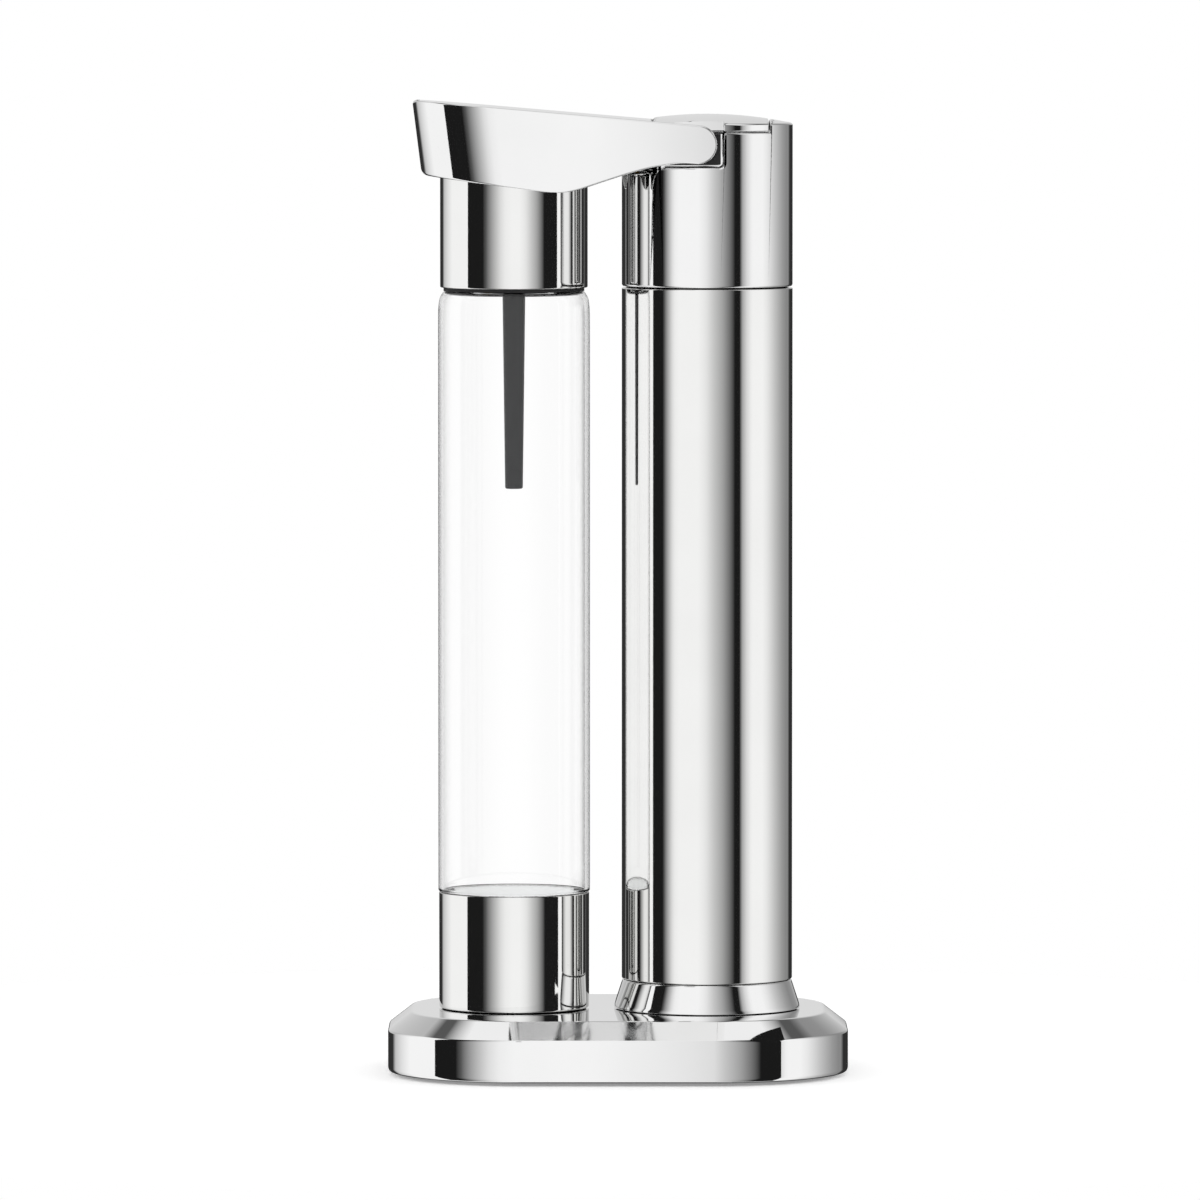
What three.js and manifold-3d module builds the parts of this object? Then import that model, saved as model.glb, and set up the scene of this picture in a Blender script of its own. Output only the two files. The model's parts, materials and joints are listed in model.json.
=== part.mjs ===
// Sparkling water maker: a gas column and a glass bottle side by side on one heavy base.
// A lever hinged in the head of the column comes down over the carbonating cap of the bottle.
// Millimetres, +Z up. The origin is the middle of the base at table height.
// +X runs from the bottle to the column, and the width of the lever runs along Y.

import * as THREE from "three";
import { mergeVertices } from "three/addons/utils/BufferGeometryUtils.js";
import Module from "manifold-3d";

const wasm = await Module();
wasm.setup();

// Clearances that are shared by every fit
const fitGap = 0.3; // between pieces that touch or seat on each other
const runGap = 0.4; // between pieces that move past each other
const overrun = 1; // how far a cutting shape runs past the face it cuts
const mergeDistance = 0.0003; // points nearer than this are one point

// Facets of round pieces
const wideSides = 48;
const mediumSides = 24;
const smallSides = 12;
const bendSteps = 6;
const shoulderSteps = 3;
const cornerSteps = 9;

// Base
const baseLength = 194;
const baseDepth = 146;
const baseCornerRadius = 57;
const footHeight = 1.5;
const baseTop = 26.7;
const baseRimTop = 19;
const baseChamferRun = 10;
const baseHeelRise = 2.4;
const baseHeelRun = 1.6;
const baseWall = 3;
const spigotRise = 18;
const plateThickness = 2;
const plateInset = 3.4;
const feetRadius = 8;
const feetInsetX = 37; // from the ends of the base
const feetInsetY = 31; // from its sides
const screwHeadRadius = 3.2;
const screwHeadHeight = 1.5;
const screwShankRadius = 1.5;
const screwLength = 12;
const screwInsetX = 22;
const screwInsetY = 41;
const bossRadius = 4;

// Column
const columnX = 37.6;
const columnRadius = 36;
const tubeWall = 1.6;
const seamGap = 0.5;
const flareHeight = 12.1;
const flareFootRadius = 39.3;
const flareTopRadius = 35.6;
const tubeHeight = 292;

// Head of the column
const headWall = 2.2;
const headHeight = 68;
const domeRise = 4.6;
const shoulderRadius = 2.4;
const notchFloorRise = 50.5;
const notchReach = 6.7; // past the axis of the column, towards its back
const cheekSlotHalf = 30;
const lidReach = 25.6; // past the axis of the column
const lidThickness = 2.2;

// Lever pivot, from the axis of the column and the seam under the head
const pivotSetback = 4.2;
const pivotRise = 60.1;
const pinRadius = 3;
const lobeRadius = 8.2;
const bushWall = 1.2;
const pinBlindWall = 1.2; // left of the cheek past the pin
const sweepRadius = 21;

// Lever
const leverHalfWidth = 34.5;
const leverWall = 2.2;
const leverNose = 120.4; // from the pivot to the foremost point of the nose
const noseHeight = 31.5;
const noseLean = 4;
const noseTopRise = 18.5; // top edge of the nose above the pivot
const bellyDrop = 20.9; // lowest point of the lever under the pivot
const bellyBack = 56; // the same point in front of the pivot
const neckShare = 0.4; // how far the neck lies in front of the pivot, of bellyBack
const neckDropShare = 1.2; // how far it lies under the pivot, of the radius of the lobes
const lobeBlendShares = { back: 1.4, drop: 0.82 }; // where the neck runs into the lobes, of the same
const bellyBendShare = 0.125; // half the length of the bend of the belly, of bellyBack
const bossLength = 6;
const bossDepth = 12;
const washerThickness = 1.4;
const couplingRadius = 6;
const couplingHeight = 9.5;
const linerThickness = 1.8;
const pipeRadius = 2;
const pipeStraightShare = 0.2; // of the run of the pipe, straight at each end

// Bottle
const bottleX = -43.9;
const glassRadius = 32;
const glassWall = 2.4;
const glassFloor = 6;
const cupRadius = 31.7;
const cupWall = 1.5;
const cupFloor = 2;
const cupHeight = 49;
const matThickness = 1.1;
const matMargin = 0.6;
const glassShoulderRadius = 4;
const neckRadius = 27;
const neckHeight = 20;
const padThickness = 1.2;

// Carbonating cap
const capRadius = 31.1;
const capWall = 1.5;
const capHeight = 48;
const coreFloor = 4;
const nozzleTopRadius = 4.9;
const nozzleTipRadius = 3.5;
const nozzleBore = 1.3;
const nozzleLength = 85; // under the rim of the cap
const inletRadius = 7;
const inletRise = 1.2; // above the rim of the cap
const sealThickness = 1.6;
const plugOffset = 17;
const plugRadius = 4;

// Gas cylinder and its valve
const cylinderRadius = 30;
const cylinderWall = 2;
const cylinderSeatThickness = 2;
const cylinderOverTube = 8; // how much longer its straight body is than the tube round it
const cylinderShoulderHeight = 24;
const cylinderNeckRadius = 12;
const cylinderNeckHeight = 8;
const kneeShare = 0.72; // height of the knee in its shoulder, outside
const innerKneeShare = 0.6;
const valveRadius = 9;
const valveRise = 22;
const valveSunk = 14;

// Valve socket and tappet
const socketRadius = 15;
const socketHeight = 20;
const rodRadius = 2;
const plateRadius = 6.5;
const tappetPlateThickness = 2;
const ridgeHalfWidth = 1;
const ridgeHeight = 1.6;
const tappetTravel = 2;
const camRadius = 8;
const camHalfWidth = 4;
const camHeelRadius = 5;
const camAngle = Math.PI / 3;
const springWire = 0.9;
const springTurns = 4;
const rodReach = 6; // into the valve of the cylinder
const socketGrip = 9; // of the socket round the valve
const flangeShare = 0.25; // height of the flange on the socket
const flangeThickness = 2.5;
const carrierThickness = 3;

const chrome = { color: 0xd9dadc, roughness: 0.08, metalness: 1 };
const brass = { color: 0xb9974f, roughness: 0.3, metalness: 1 };
const steel = { color: 0xa9abad, roughness: 0.3, metalness: 1 };
const blackPlastic = { color: 0x2b2c2e, roughness: 0.45, metalness: 0 };
const rubber = { color: 0x1c1c1d, roughness: 0.8, metalness: 0 };
const silicone = { color: 0x9a9c9e, roughness: 0.6, metalness: 0 };
const clearGlass = { color: 0xeef3f3, roughness: 0.03, metalness: 0, transparent: true, opacity: 0.25 };
const paintedSteel = { color: 0x8d9299, roughness: 0.4, metalness: 0.6 };

const model = new THREE.Group();

function place(name, solid, finish) {
  const mesh = new THREE.Mesh(solid, new THREE.MeshStandardMaterial(finish));
  mesh.name = name;
  model.add(mesh);
  return mesh;
}

// Solid modelling helpers

function toManifold(geometry) {
  const bare = geometry.clone();
  bare.deleteAttribute("normal");
  bare.deleteAttribute("uv");
  const merged = mergeVertices(bare, mergeDistance);
  return new wasm.Manifold(new wasm.Mesh({
    numProp: 3,
    vertProperties: new Float32Array(merged.attributes.position.array),
    triVerts: new Uint32Array(merged.index.array),
  }));
}

function toGeometry(manifold) {
  const mesh = manifold.getMesh();
  const geometry = new THREE.BufferGeometry();
  geometry.setAttribute("position", new THREE.BufferAttribute(new Float32Array(mesh.vertProperties), 3));
  geometry.setIndex(new THREE.BufferAttribute(new Uint32Array(mesh.triVerts), 1));
  geometry.computeVertexNormals();
  return geometry;
}

function cut(body, ...tools) {
  return tools.reduce((left, tool) => left.subtract(toManifold(tool)), body);
}

function join(body, ...pieces) {
  return pieces.reduce((sum, piece) => sum.add(toManifold(piece)), body);
}

// Points of a profile are [radius, height] pairs, upwards along the outside.
function turned(points, sides, x = 0, y = 0) {
  const profile = points.map(([radius, height]) => new THREE.Vector2(radius, height));
  const closed = points[0][0] !== 0 || points[points.length - 1][0] !== 0;
  if (closed) profile.push(profile[0].clone());
  const geometry = new THREE.LatheGeometry(profile, sides);
  geometry.rotateX(Math.PI / 2);
  geometry.translate(x, y, 0);
  return geometry;
}

function disc(radius, low, high, sides, x = 0, y = 0) {
  return turned([[0, low], [radius, low], [radius, high], [0, high]], sides, x, y);
}

function ring(inner, outer, low, high, sides, x = 0, y = 0) {
  return turned([[inner, low], [outer, low], [outer, high], [inner, high]], sides, x, y);
}

function block(x0, x1, y0, y1, z0, z1) {
  const geometry = new THREE.BoxGeometry(x1 - x0, y1 - y0, z1 - z0);
  geometry.translate((x0 + x1) / 2, (y0 + y1) / 2, (z0 + z1) / 2);
  return geometry;
}

// A bar along Y, round about the point x, z
function crossBar(radius, y0, y1, x, z, sides) {
  const geometry = new THREE.CylinderGeometry(radius, radius, y1 - y0, sides);
  geometry.translate(x, (y0 + y1) / 2, z);
  return geometry;
}

// A shape drawn in X and Z, extruded along Y
function sideExtrusion(shape, halfWidth, curveSegments = bendSteps) {
  const depth = 2 * halfWidth;
  const geometry = new THREE.ExtrudeGeometry(shape, { depth, bevelEnabled: false, curveSegments });
  geometry.rotateX(Math.PI / 2);
  geometry.translate(0, halfWidth, 0);
  return geometry;
}

function upExtrusion(shape, low, high, curveSegments = bendSteps) {
  const depth = high - low;
  const geometry = new THREE.ExtrudeGeometry(shape, { depth, bevelEnabled: false, curveSegments });
  geometry.translate(0, 0, low);
  return geometry;
}

function roundedRectangle(halfX, halfY, radius) {
  const shape = new THREE.Shape();
  shape.absarc(halfX - radius, halfY - radius, radius, 0, Math.PI / 2);
  shape.absarc(radius - halfX, halfY - radius, radius, Math.PI / 2, Math.PI);
  shape.absarc(radius - halfX, radius - halfY, radius, Math.PI, 1.5 * Math.PI);
  shape.absarc(halfX - radius, radius - halfY, radius, 1.5 * Math.PI, 2 * Math.PI);
  shape.closePath();
  return shape;
}

// Rounded-rectangle outlines at several heights, skinned into one closed body
function stackedOutline(levels, radius, halfX, halfY, cornerSteps) {
  const positions = [];
  const index = [];
  const perRing = 4 * (cornerSteps + 1);
  for (const [inset, height] of levels) {
    const r = radius - inset;
    const centres = [[1, 1], [-1, 1], [-1, -1], [1, -1]];
    centres.forEach(([sx, sy], corner) => {
      for (let step = 0; step <= cornerSteps; step++) {
        const angle = (corner + step / cornerSteps) * Math.PI / 2;
        const x = sx * (halfX - radius) + r * Math.cos(angle);
        const y = sy * (halfY - radius) + r * Math.sin(angle);
        positions.push(x, y, height);
      }
    });
  }
  for (let level = 0; level + 1 < levels.length; level++) {
    for (let i = 0; i < perRing; i++) {
      const a = level * perRing + i;
      const b = level * perRing + (i + 1) % perRing;
      index.push(a, b, b + perRing, a, b + perRing, a + perRing);
    }
  }
  const top = (levels.length - 1) * perRing;
  for (let i = 1; i + 1 < perRing; i++) {
    index.push(0, i + 1, i);
    index.push(top, top + i, top + i + 1);
  }
  const geometry = new THREE.BufferGeometry();
  geometry.setAttribute("position", new THREE.Float32BufferAttribute(positions, 3));
  geometry.setIndex(index);
  return geometry;
}

// Base: a heavy cast shell, open underneath, with a plate, four feet and four screws

const roofLow = baseTop - baseWall;
const spigotRadius = columnRadius - tubeWall - fitGap;
const cylinderHole = cylinderRadius + runGap + fitGap;
const matRadius = cupRadius + matMargin;
const feetSpanX = baseLength - 2 * feetInsetX;
const feetSpanY = baseDepth - 2 * feetInsetY;
const screwSpanX = baseLength - 2 * screwInsetX;
const screwSpanY = baseDepth - 2 * screwInsetY;

function baseShell() {
  const halfX = baseLength / 2;
  const halfY = baseDepth / 2;
  const outer = stackedOutline([
    [baseHeelRun, footHeight],
    [0, footHeight + baseHeelRise],
    [0, baseRimTop],
    [baseChamferRun, baseTop],
  ], baseCornerRadius, halfX, halfY, cornerSteps);
  const inner = stackedOutline([
    [baseWall + baseHeelRun, footHeight - overrun],
    [baseWall, footHeight + baseHeelRise],
    [baseWall, baseRimTop - baseWall],
    [baseWall + baseChamferRun, roofLow],
  ], baseCornerRadius, halfX, halfY, cornerSteps);
  let body = cut(toManifold(outer), inner);
  const spigot = disc(spigotRadius, roofLow, baseTop + spigotRise, wideSides, columnX);
  body = join(body, spigot);
  for (const [x, y] of fourPlaces(screwSpanX, screwSpanY)) {
    const bossLow = footHeight + plateThickness + 2 * fitGap;
    body = join(body, disc(bossRadius, bossLow, roofLow + overrun, smallSides, x, y));
    const holeTop = footHeight + screwHeadHeight + screwLength + fitGap;
    body = cut(body, disc(screwShankRadius + fitGap, 0, holeTop, smallSides, x, y));
  }
  body = cut(
    body,
    disc(cylinderHole, 0, baseTop + spigotRise + overrun, wideSides, columnX),
    disc(matRadius + fitGap, baseTop - matThickness - fitGap, baseTop + overrun, wideSides, bottleX),
  );
  place("base_shell", toGeometry(body), chrome);
}

function fourPlaces(spanX, spanY) {
  return [[1, 1], [-1, 1], [-1, -1], [1, -1]].map(([sx, sy]) => [sx * spanX / 2, sy * spanY / 2]);
}

function basePlate() {
  const inset = baseWall + baseHeelRun + fitGap;
  const low = footHeight + fitGap;
  const plate = stackedOutline([
    [inset, low],
    [inset, low + plateThickness],
  ], baseCornerRadius, baseLength / 2, baseDepth / 2, cornerSteps);
  let body = toManifold(plate);
  for (const [x, y] of fourPlaces(screwSpanX, screwSpanY)) {
    body = cut(body, disc(screwShankRadius + fitGap, 0, baseTop, smallSides, x, y));
    body = cut(body, disc(screwHeadRadius + fitGap, 0, low + screwHeadHeight / 2, smallSides, x, y));
  }
  place("base_plate", toGeometry(body), blackPlastic);
  fourPlaces(feetSpanX, feetSpanY).forEach(([x, y], i) => {
    place(`foot_${i + 1}`, disc(feetRadius, 0, footHeight, mediumSides, x, y), rubber);
  });
  fourPlaces(screwSpanX, screwSpanY).forEach(([x, y], i) => {
    const headLow = low + screwHeadHeight / 2 + fitGap - screwHeadHeight;
    const headHigh = headLow + screwHeadHeight - 2 * fitGap;
    place(`base_screw_${i + 1}`, turned([
      [0, headLow],
      [screwHeadRadius, headLow],
      [screwHeadRadius, headHigh],
      [screwShankRadius, headHigh],
      [screwShankRadius, headLow + screwLength],
      [0, headLow + screwLength],
    ], smallSides, x, y), steel);
  });
}

function bottleMat() {
  place("bottle_mat", disc(matRadius, baseTop - matThickness, baseTop, wideSides, bottleX), rubber);
}

// Column: a flared ring and a tube over the gas cylinder

const flareLow = baseTop + fitGap;
const flareHigh = flareLow + flareHeight;
const tubeLow = flareHigh + fitGap;
const tubeHigh = tubeLow + tubeHeight;
const headLow = tubeHigh + seamGap;

function column() {
  place("column_foot_ring", turned([
    [spigotRadius + fitGap, flareLow],
    [flareFootRadius - fitGap, flareLow],
    [flareFootRadius, flareLow + fitGap],
    [flareTopRadius, flareHigh],
    [spigotRadius + fitGap, flareHigh],
  ], wideSides, columnX), chrome);
  const tubeBore = columnRadius - tubeWall;
  place("column_tube", ring(tubeBore, columnRadius, tubeLow, tubeHigh, wideSides, columnX), chrome);
}

// Gas cylinder with its valve, on a rubber seat

const seatLow = footHeight + fitGap + plateThickness + fitGap;
const cylinderLow = seatLow + cylinderSeatThickness + fitGap;
const shoulderLow = cylinderLow + tubeHeight + cylinderOverTube;
const neckLow = shoulderLow + cylinderShoulderHeight;
const cylinderHigh = neckLow + cylinderNeckHeight;
const valveBore = valveRadius - cylinderWall;
const valveHigh = cylinderHigh + valveRise;

function gasCylinder() {
  const seatHigh = seatLow + cylinderSeatThickness;
  place("cylinder_seat", disc(cylinderRadius, seatLow, seatHigh, mediumSides, columnX), rubber);
  const inner = cylinderRadius - cylinderWall;
  const neckBore = valveBore + fitGap;
  const knee = (cylinderRadius + cylinderNeckRadius) / 2;
  place("gas_cylinder", turned([
    [0, cylinderLow],
    [inner, cylinderLow],
    [cylinderRadius, cylinderLow + cylinderWall],
    [cylinderRadius, shoulderLow],
    [knee, shoulderLow + kneeShare * cylinderShoulderHeight],
    [cylinderNeckRadius, neckLow],
    [cylinderNeckRadius, cylinderHigh],
    [neckBore, cylinderHigh],
    [neckBore, neckLow - cylinderWall],
    [knee - cylinderWall, shoulderLow + innerKneeShare * cylinderShoulderHeight],
    [inner, shoulderLow],
    [inner, cylinderLow + 2 * cylinderWall],
    [0, cylinderLow + 2 * cylinderWall],
  ], mediumSides, columnX), paintedSteel);
  const pinBore = rodRadius + runGap;
  place("cylinder_valve", turned([
    [0, cylinderHigh - valveSunk],
    [valveBore, cylinderHigh - valveSunk],
    [valveBore, cylinderHigh + fitGap],
    [valveRadius, cylinderHigh + fitGap],
    [valveRadius, valveHigh],
    [pinBore, valveHigh],
    [pinBore, valveHigh - rodReach - runGap],
    [0, valveHigh - rodReach - runGap],
  ], mediumSides, columnX), brass);
}

// Head: one casting with a domed top, cut back on both sides for the cheeks of the lever

const headHigh = headLow + headHeight;
const notchFloor = headLow + notchFloorRise;
const notchX = columnX + notchReach;
const pivotX = columnX - pivotSetback;
const pivotZ = headLow + pivotRise;
const domeHigh = headHigh + domeRise;
const lidX = columnX + lidReach;
const bushRadius = pinRadius + fitGap + bushWall;

function headOutline(inset, low) {
  const radius = columnRadius - inset;
  const top = headHigh - inset;
  const points = [[0, low], [radius, low], [radius, top]];
  const slopeSteps = 3;
  const innerRadius = radius - shoulderRadius;
  for (let i = 1; i <= slopeSteps; i++) {
    const angle = i / slopeSteps * Math.PI / 2;
    const shoulder = shoulderRadius / 2;
    points.push([innerRadius + shoulderRadius * Math.cos(angle), top + shoulder * Math.sin(angle)]);
  }
  const domeLow = top + shoulderRadius / 2;
  const domeSteps = 4;
  for (let i = 1; i < domeSteps; i++) {
    const share = 1 - i / domeSteps;
    points.push([innerRadius * share, domeLow + (domeHigh - inset - domeLow) * (1 - share * share)]);
  }
  points.push([0, domeHigh - inset]);
  return toManifold(turned(points, wideSides, columnX));
}

// What the lever needs clear above the floor of the notch, grown by an inset
function notchSolids(inset) {
  const low = notchFloor - inset;
  const high = domeHigh + overrun;
  const far = columnRadius + overrun;
  const left = columnX - far;
  const slot = cheekSlotHalf - inset;
  const sweep = toManifold(crossBar(sweepRadius - inset, -far, far, pivotX, pivotZ, wideSides));
  const front = toManifold(block(left, pivotX, -far, far, low, high)).subtract(sweep);
  return [
    toManifold(block(left, notchX + inset, slot, far, low, high)),
    toManifold(block(left, notchX + inset, -far, -slot, low, high)),
    front,
  ];
}

function lidRegion(inset) {
  const low = headHigh - lidThickness - inset;
  const far = columnRadius + overrun;
  return toManifold(block(columnX - far, lidX + inset, -far, far, low, domeHigh + overrun));
}

function head() {
  let body = headOutline(0, headLow);
  for (const solid of notchSolids(0)) body = body.subtract(solid);
  let hollow = headOutline(headWall, headLow - overrun);
  for (const solid of notchSolids(headWall)) hollow = hollow.subtract(solid);
  hollow = hollow.subtract(lidRegion(headWall));
  body = body.subtract(hollow);
  const upper = body.intersect(lidRegion(0));
  body = body.subtract(lidRegion(fitGap));
  const hatchLow = notchFloor + overrun;
  const hatch = block(lidHatchLow, lidHatchHigh, -lidHatchHalf, lidHatchHalf, hatchLow, domeHigh);
  body = cut(body, hatch);
  for (const side of [-1, 1]) {
    const y0 = side > 0 ? cheekSlotHalf - headWall - overrun : -cheekSlotHalf - overrun;
    const y1 = y0 + headWall + 2 * overrun;
    body = cut(body, crossBar(bushRadius + fitGap, y0, y1, pivotX, pivotZ, mediumSides));
  }
  place("head_shell", toGeometry(body), chrome);
  place("head_lid", toGeometry(upper), chrome);
}

const lidHatchLow = pivotX - sweepRadius + 3 * headWall;
const lidHatchHigh = lidX - 2 * headWall;
const lidHatchHalf = cheekSlotHalf - 3 * headWall;

// Valve gear in the head: socket, carrier ring, tappet and return spring

const socketLow = valveHigh - socketGrip;
const socketHigh = socketLow + socketHeight;
const flangeLow = socketLow + flangeShare * socketHeight;
const tappetHigh = pivotZ - camRadius - runGap;
const tappetPlateHigh = tappetHigh - ridgeHeight;
const tappetPlateLow = tappetPlateHigh - tappetPlateThickness;

function valveGear() {
  const headBore = columnRadius - headWall;
  const bore = valveRadius + fitGap;
  place("valve_carrier", ring(
    socketRadius + fitGap, headBore - fitGap, flangeLow - fitGap - carrierThickness, flangeLow - fitGap,
    wideSides, columnX,
  ), steel);
  place("valve_socket", turned([
    [bore, socketLow],
    [socketRadius, socketLow],
    [socketRadius, flangeLow],
    [socketRadius + flangeThickness, flangeLow],
    [socketRadius + flangeThickness, flangeLow + flangeThickness],
    [socketRadius, flangeLow + flangeThickness],
    [socketRadius, socketHigh],
    [rodRadius + runGap, socketHigh],
    [rodRadius + runGap, valveHigh + fitGap],
    [bore, valveHigh + fitGap],
  ], mediumSides, columnX), brass);
  const rodLow = valveHigh - rodReach;
  const rod = toManifold(turned([
    [0, rodLow],
    [rodRadius, rodLow],
    [rodRadius, tappetPlateLow],
    [plateRadius, tappetPlateLow],
    [plateRadius, tappetPlateHigh],
    [0, tappetPlateHigh],
  ], mediumSides, columnX));
  const ridge = block(
    pivotX - ridgeHalfWidth, pivotX + ridgeHalfWidth, -camHalfWidth, camHalfWidth,
    tappetPlateHigh - tappetPlateThickness / 2, tappetHigh,
  );
  place("tappet", toGeometry(join(rod, ridge)), steel);
  place("return_spring", spring(), steel);
}

// An open coil between the socket and the plate of the tappet
function spring() {
  const low = socketHigh + fitGap + springWire / 2;
  const high = tappetPlateLow - fitGap - springWire / 2;
  const radius = rodRadius + runGap + springWire;
  const perTurn = 8;
  const points = [];
  for (let i = 0; i <= perTurn * springTurns; i++) {
    const share = i / (perTurn * springTurns);
    const angle = 2 * Math.PI * springTurns * share;
    points.push(new THREE.Vector3(
      columnX + radius * Math.cos(angle), radius * Math.sin(angle), low + (high - low) * share,
    ));
  }
  return tube(points, springWire / 2, 5, perTurn * springTurns);
}

function tube(points, radius, sides, steps) {
  const section = new THREE.Shape();
  for (let i = 0; i < sides; i++) {
    const angle = 2 * Math.PI * i / sides;
    const move = i === 0 ? "moveTo" : "lineTo";
    section[move](radius * Math.cos(angle), radius * Math.sin(angle));
  }
  section.closePath();
  const path = new THREE.CatmullRomCurve3(points);
  return new THREE.ExtrudeGeometry(section, { steps, bevelEnabled: false, extrudePath: path });
}

// Pivot: a pin that turns with the lever in two bushes, and a cam on it over the tappet

const cheekInner = cheekSlotHalf + runGap;
const pinHalf = leverHalfWidth - pinBlindWall - fitGap;

function pivot() {
  const pin = crossBar(pinRadius, -pinHalf, pinHalf, pivotX, pivotZ, mediumSides);
  place("pivot_pin", pin, steel);
  for (const [side, name] of [[1, "rear"], [-1, "front"]]) {
    const inner = cheekSlotHalf - headWall;
    const outerRing = toManifold(crossBar(bushRadius, inner, cheekSlotHalf, pivotX, pivotZ, mediumSides));
    const bore = crossBar(
      pinRadius + fitGap, inner - overrun, cheekSlotHalf + overrun, pivotX, pivotZ, mediumSides,
    );
    const bush = toGeometry(cut(outerRing, bore));
    if (side < 0) bush.translate(0, -cheekSlotHalf - inner, 0);
    place(`pivot_bush_${name}`, bush, brass);
  }
  const shape = new THREE.Shape();
  const steps = 36;
  for (let i = 0; i < steps; i++) {
    const turn = 2 * Math.PI * i / steps;
    let radius = camHeelRadius;
    if (turn <= camAngle) radius = camRadius - tappetTravel * turn / camAngle;
    const back = 2 * Math.PI - turn;
    if (back <= camAngle / 2) radius = camRadius - (camRadius - camHeelRadius) * back / (camAngle / 2);
    const angle = turn - Math.PI / 2;
    const x = pivotX + radius * Math.cos(angle);
    const z = pivotZ + radius * Math.sin(angle);
    if (i === 0) shape.moveTo(x, z);
    else shape.lineTo(x, z);
  }
  shape.closePath();
  const halfLength = camHalfWidth + overrun;
  const bore = crossBar(pinRadius + fitGap, -halfLength, halfLength, pivotX, pivotZ, mediumSides);
  place("cam", toGeometry(cut(toManifold(sideExtrusion(shape, camHalfWidth)), bore)), steel);
}

// Lever: a deep hollow shell over the cap, with two flat cheeks that straddle the head

const noseX = pivotX - leverNose;
const noseTop = pivotZ + noseTopRise;
const bellyX = pivotX - bellyBack;
const bellyZ = pivotZ - bellyDrop;
const slotRear = pivotX - sweepRadius - runGap;
const rootX = slotRear - leverWall;
const bossInner = cheekInner - bossDepth;
const bossLow = pivotZ - lobeRadius / 2;

function topEdge(x, drop) {
  const slope = (noseTop - pivotZ - lobeRadius) / leverNose;
  return pivotZ + lobeRadius + (pivotX - x) * slope - drop;
}

function leverSide() {
  const shape = new THREE.Shape();
  const corner = leverWall;
  const footX = noseX + noseLean;
  const footZ = noseTop - noseHeight;
  const neckX = pivotX - neckShare * bellyBack;
  const neckZ = pivotZ - neckDropShare * lobeRadius;
  shape.moveTo(noseX + corner, topEdge(noseX + corner, 0));
  shape.quadraticCurveTo(noseX, noseTop, noseX + corner * noseLean / noseHeight, noseTop - corner);
  shape.lineTo(footX - corner * noseLean / noseHeight, footZ + corner);
  shape.quadraticCurveTo(footX, footZ, footX + corner, footZ - corner * (footZ - bellyZ) / (bellyX - footX));
  const bend = bellyBendShare * bellyBack;
  shape.lineTo(bellyX - bend, bellyZ + bend * (footZ - bellyZ) / (bellyX - footX));
  shape.quadraticCurveTo(bellyX, bellyZ, bellyX + bend, bellyZ + bend * (neckZ - bellyZ) / (neckX - bellyX));
  shape.lineTo(neckX, neckZ);
  shape.quadraticCurveTo(
    pivotX - lobeBlendShares.back * lobeRadius, pivotZ - lobeBlendShares.drop * lobeRadius,
    pivotX, pivotZ - lobeRadius,
  );
  shape.absarc(pivotX, pivotZ, lobeRadius, -Math.PI / 2, Math.PI / 2, false);
  shape.closePath();
  return shape;
}

// Plan of the lever, leaned forwards with height as its nose is
function leverPlan(inset, low, high) {
  const half = leverHalfWidth - inset;
  const centre = noseX + leverHalfWidth;
  const shape = new THREE.Shape();
  shape.absarc(centre, 0, half, Math.PI / 2, 1.5 * Math.PI, false);
  shape.lineTo(pivotX + 2 * lobeRadius, -half);
  shape.lineTo(pivotX + 2 * lobeRadius, half);
  shape.closePath();
  const plan = upExtrusion(shape, low, high, 14);
  const place3 = plan.attributes.position;
  for (let i = 0; i < place3.count; i++) {
    const lean = (noseTop - place3.getZ(i)) * noseLean / noseHeight;
    if (place3.getX(i) < slotRear) place3.setX(i, place3.getX(i) + lean);
  }
  return plan;
}

function lever() {
  const low = bellyZ - overrun;
  const high = noseTop + overrun;
  const far = pivotX + 3 * lobeRadius;
  let body = toManifold(sideExtrusion(leverSide(), leverHalfWidth + overrun, 12));
  body = body.intersect(toManifold(leverPlan(0, low, high)));
  const cavitySide = new THREE.Shape();
  cavitySide.moveTo(noseX - overrun, low);
  cavitySide.lineTo(rootX, low);
  cavitySide.lineTo(rootX, topEdge(rootX, leverWall));
  cavitySide.lineTo(noseX - overrun, topEdge(noseX - overrun, leverWall));
  cavitySide.closePath();
  const cavity = toManifold(sideExtrusion(cavitySide, leverHalfWidth))
    .intersect(toManifold(leverPlan(leverWall, low - overrun, high)));
  body = body.subtract(cavity);
  const slotSide = new THREE.Shape();
  slotSide.moveTo(rootX - overrun, low);
  slotSide.lineTo(pivotX, low);
  slotSide.lineTo(pivotX, topEdge(slotRear, leverWall));
  slotSide.lineTo(rootX - overrun, topEdge(rootX, leverWall));
  slotSide.closePath();
  body = body.subtract(toManifold(sideExtrusion(slotSide, cheekInner)));
  body = cut(
    body,
    block(pivotX - lobeRadius, far, -cheekInner, cheekInner, low, high),
    crossBar(sweepRadius + runGap, -cheekInner, cheekInner, pivotX, pivotZ, wideSides),
    crossBar(pinRadius + fitGap, -pinHalf - fitGap, pinHalf + fitGap, pivotX, pivotZ, mediumSides),
  );
  const bossTop = topEdge(rootX, leverWall / 2);
  const boss = block(rootX - bossLength, rootX, bossInner, leverHalfWidth - leverWall / 2, bossLow, bossTop);
  body = join(body, boss);
  place("lever_shell", toGeometry(body), chrome);
}

// Under the lever: a liner, the gas coupling with its washer, and the pipe back to the pivot

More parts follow.
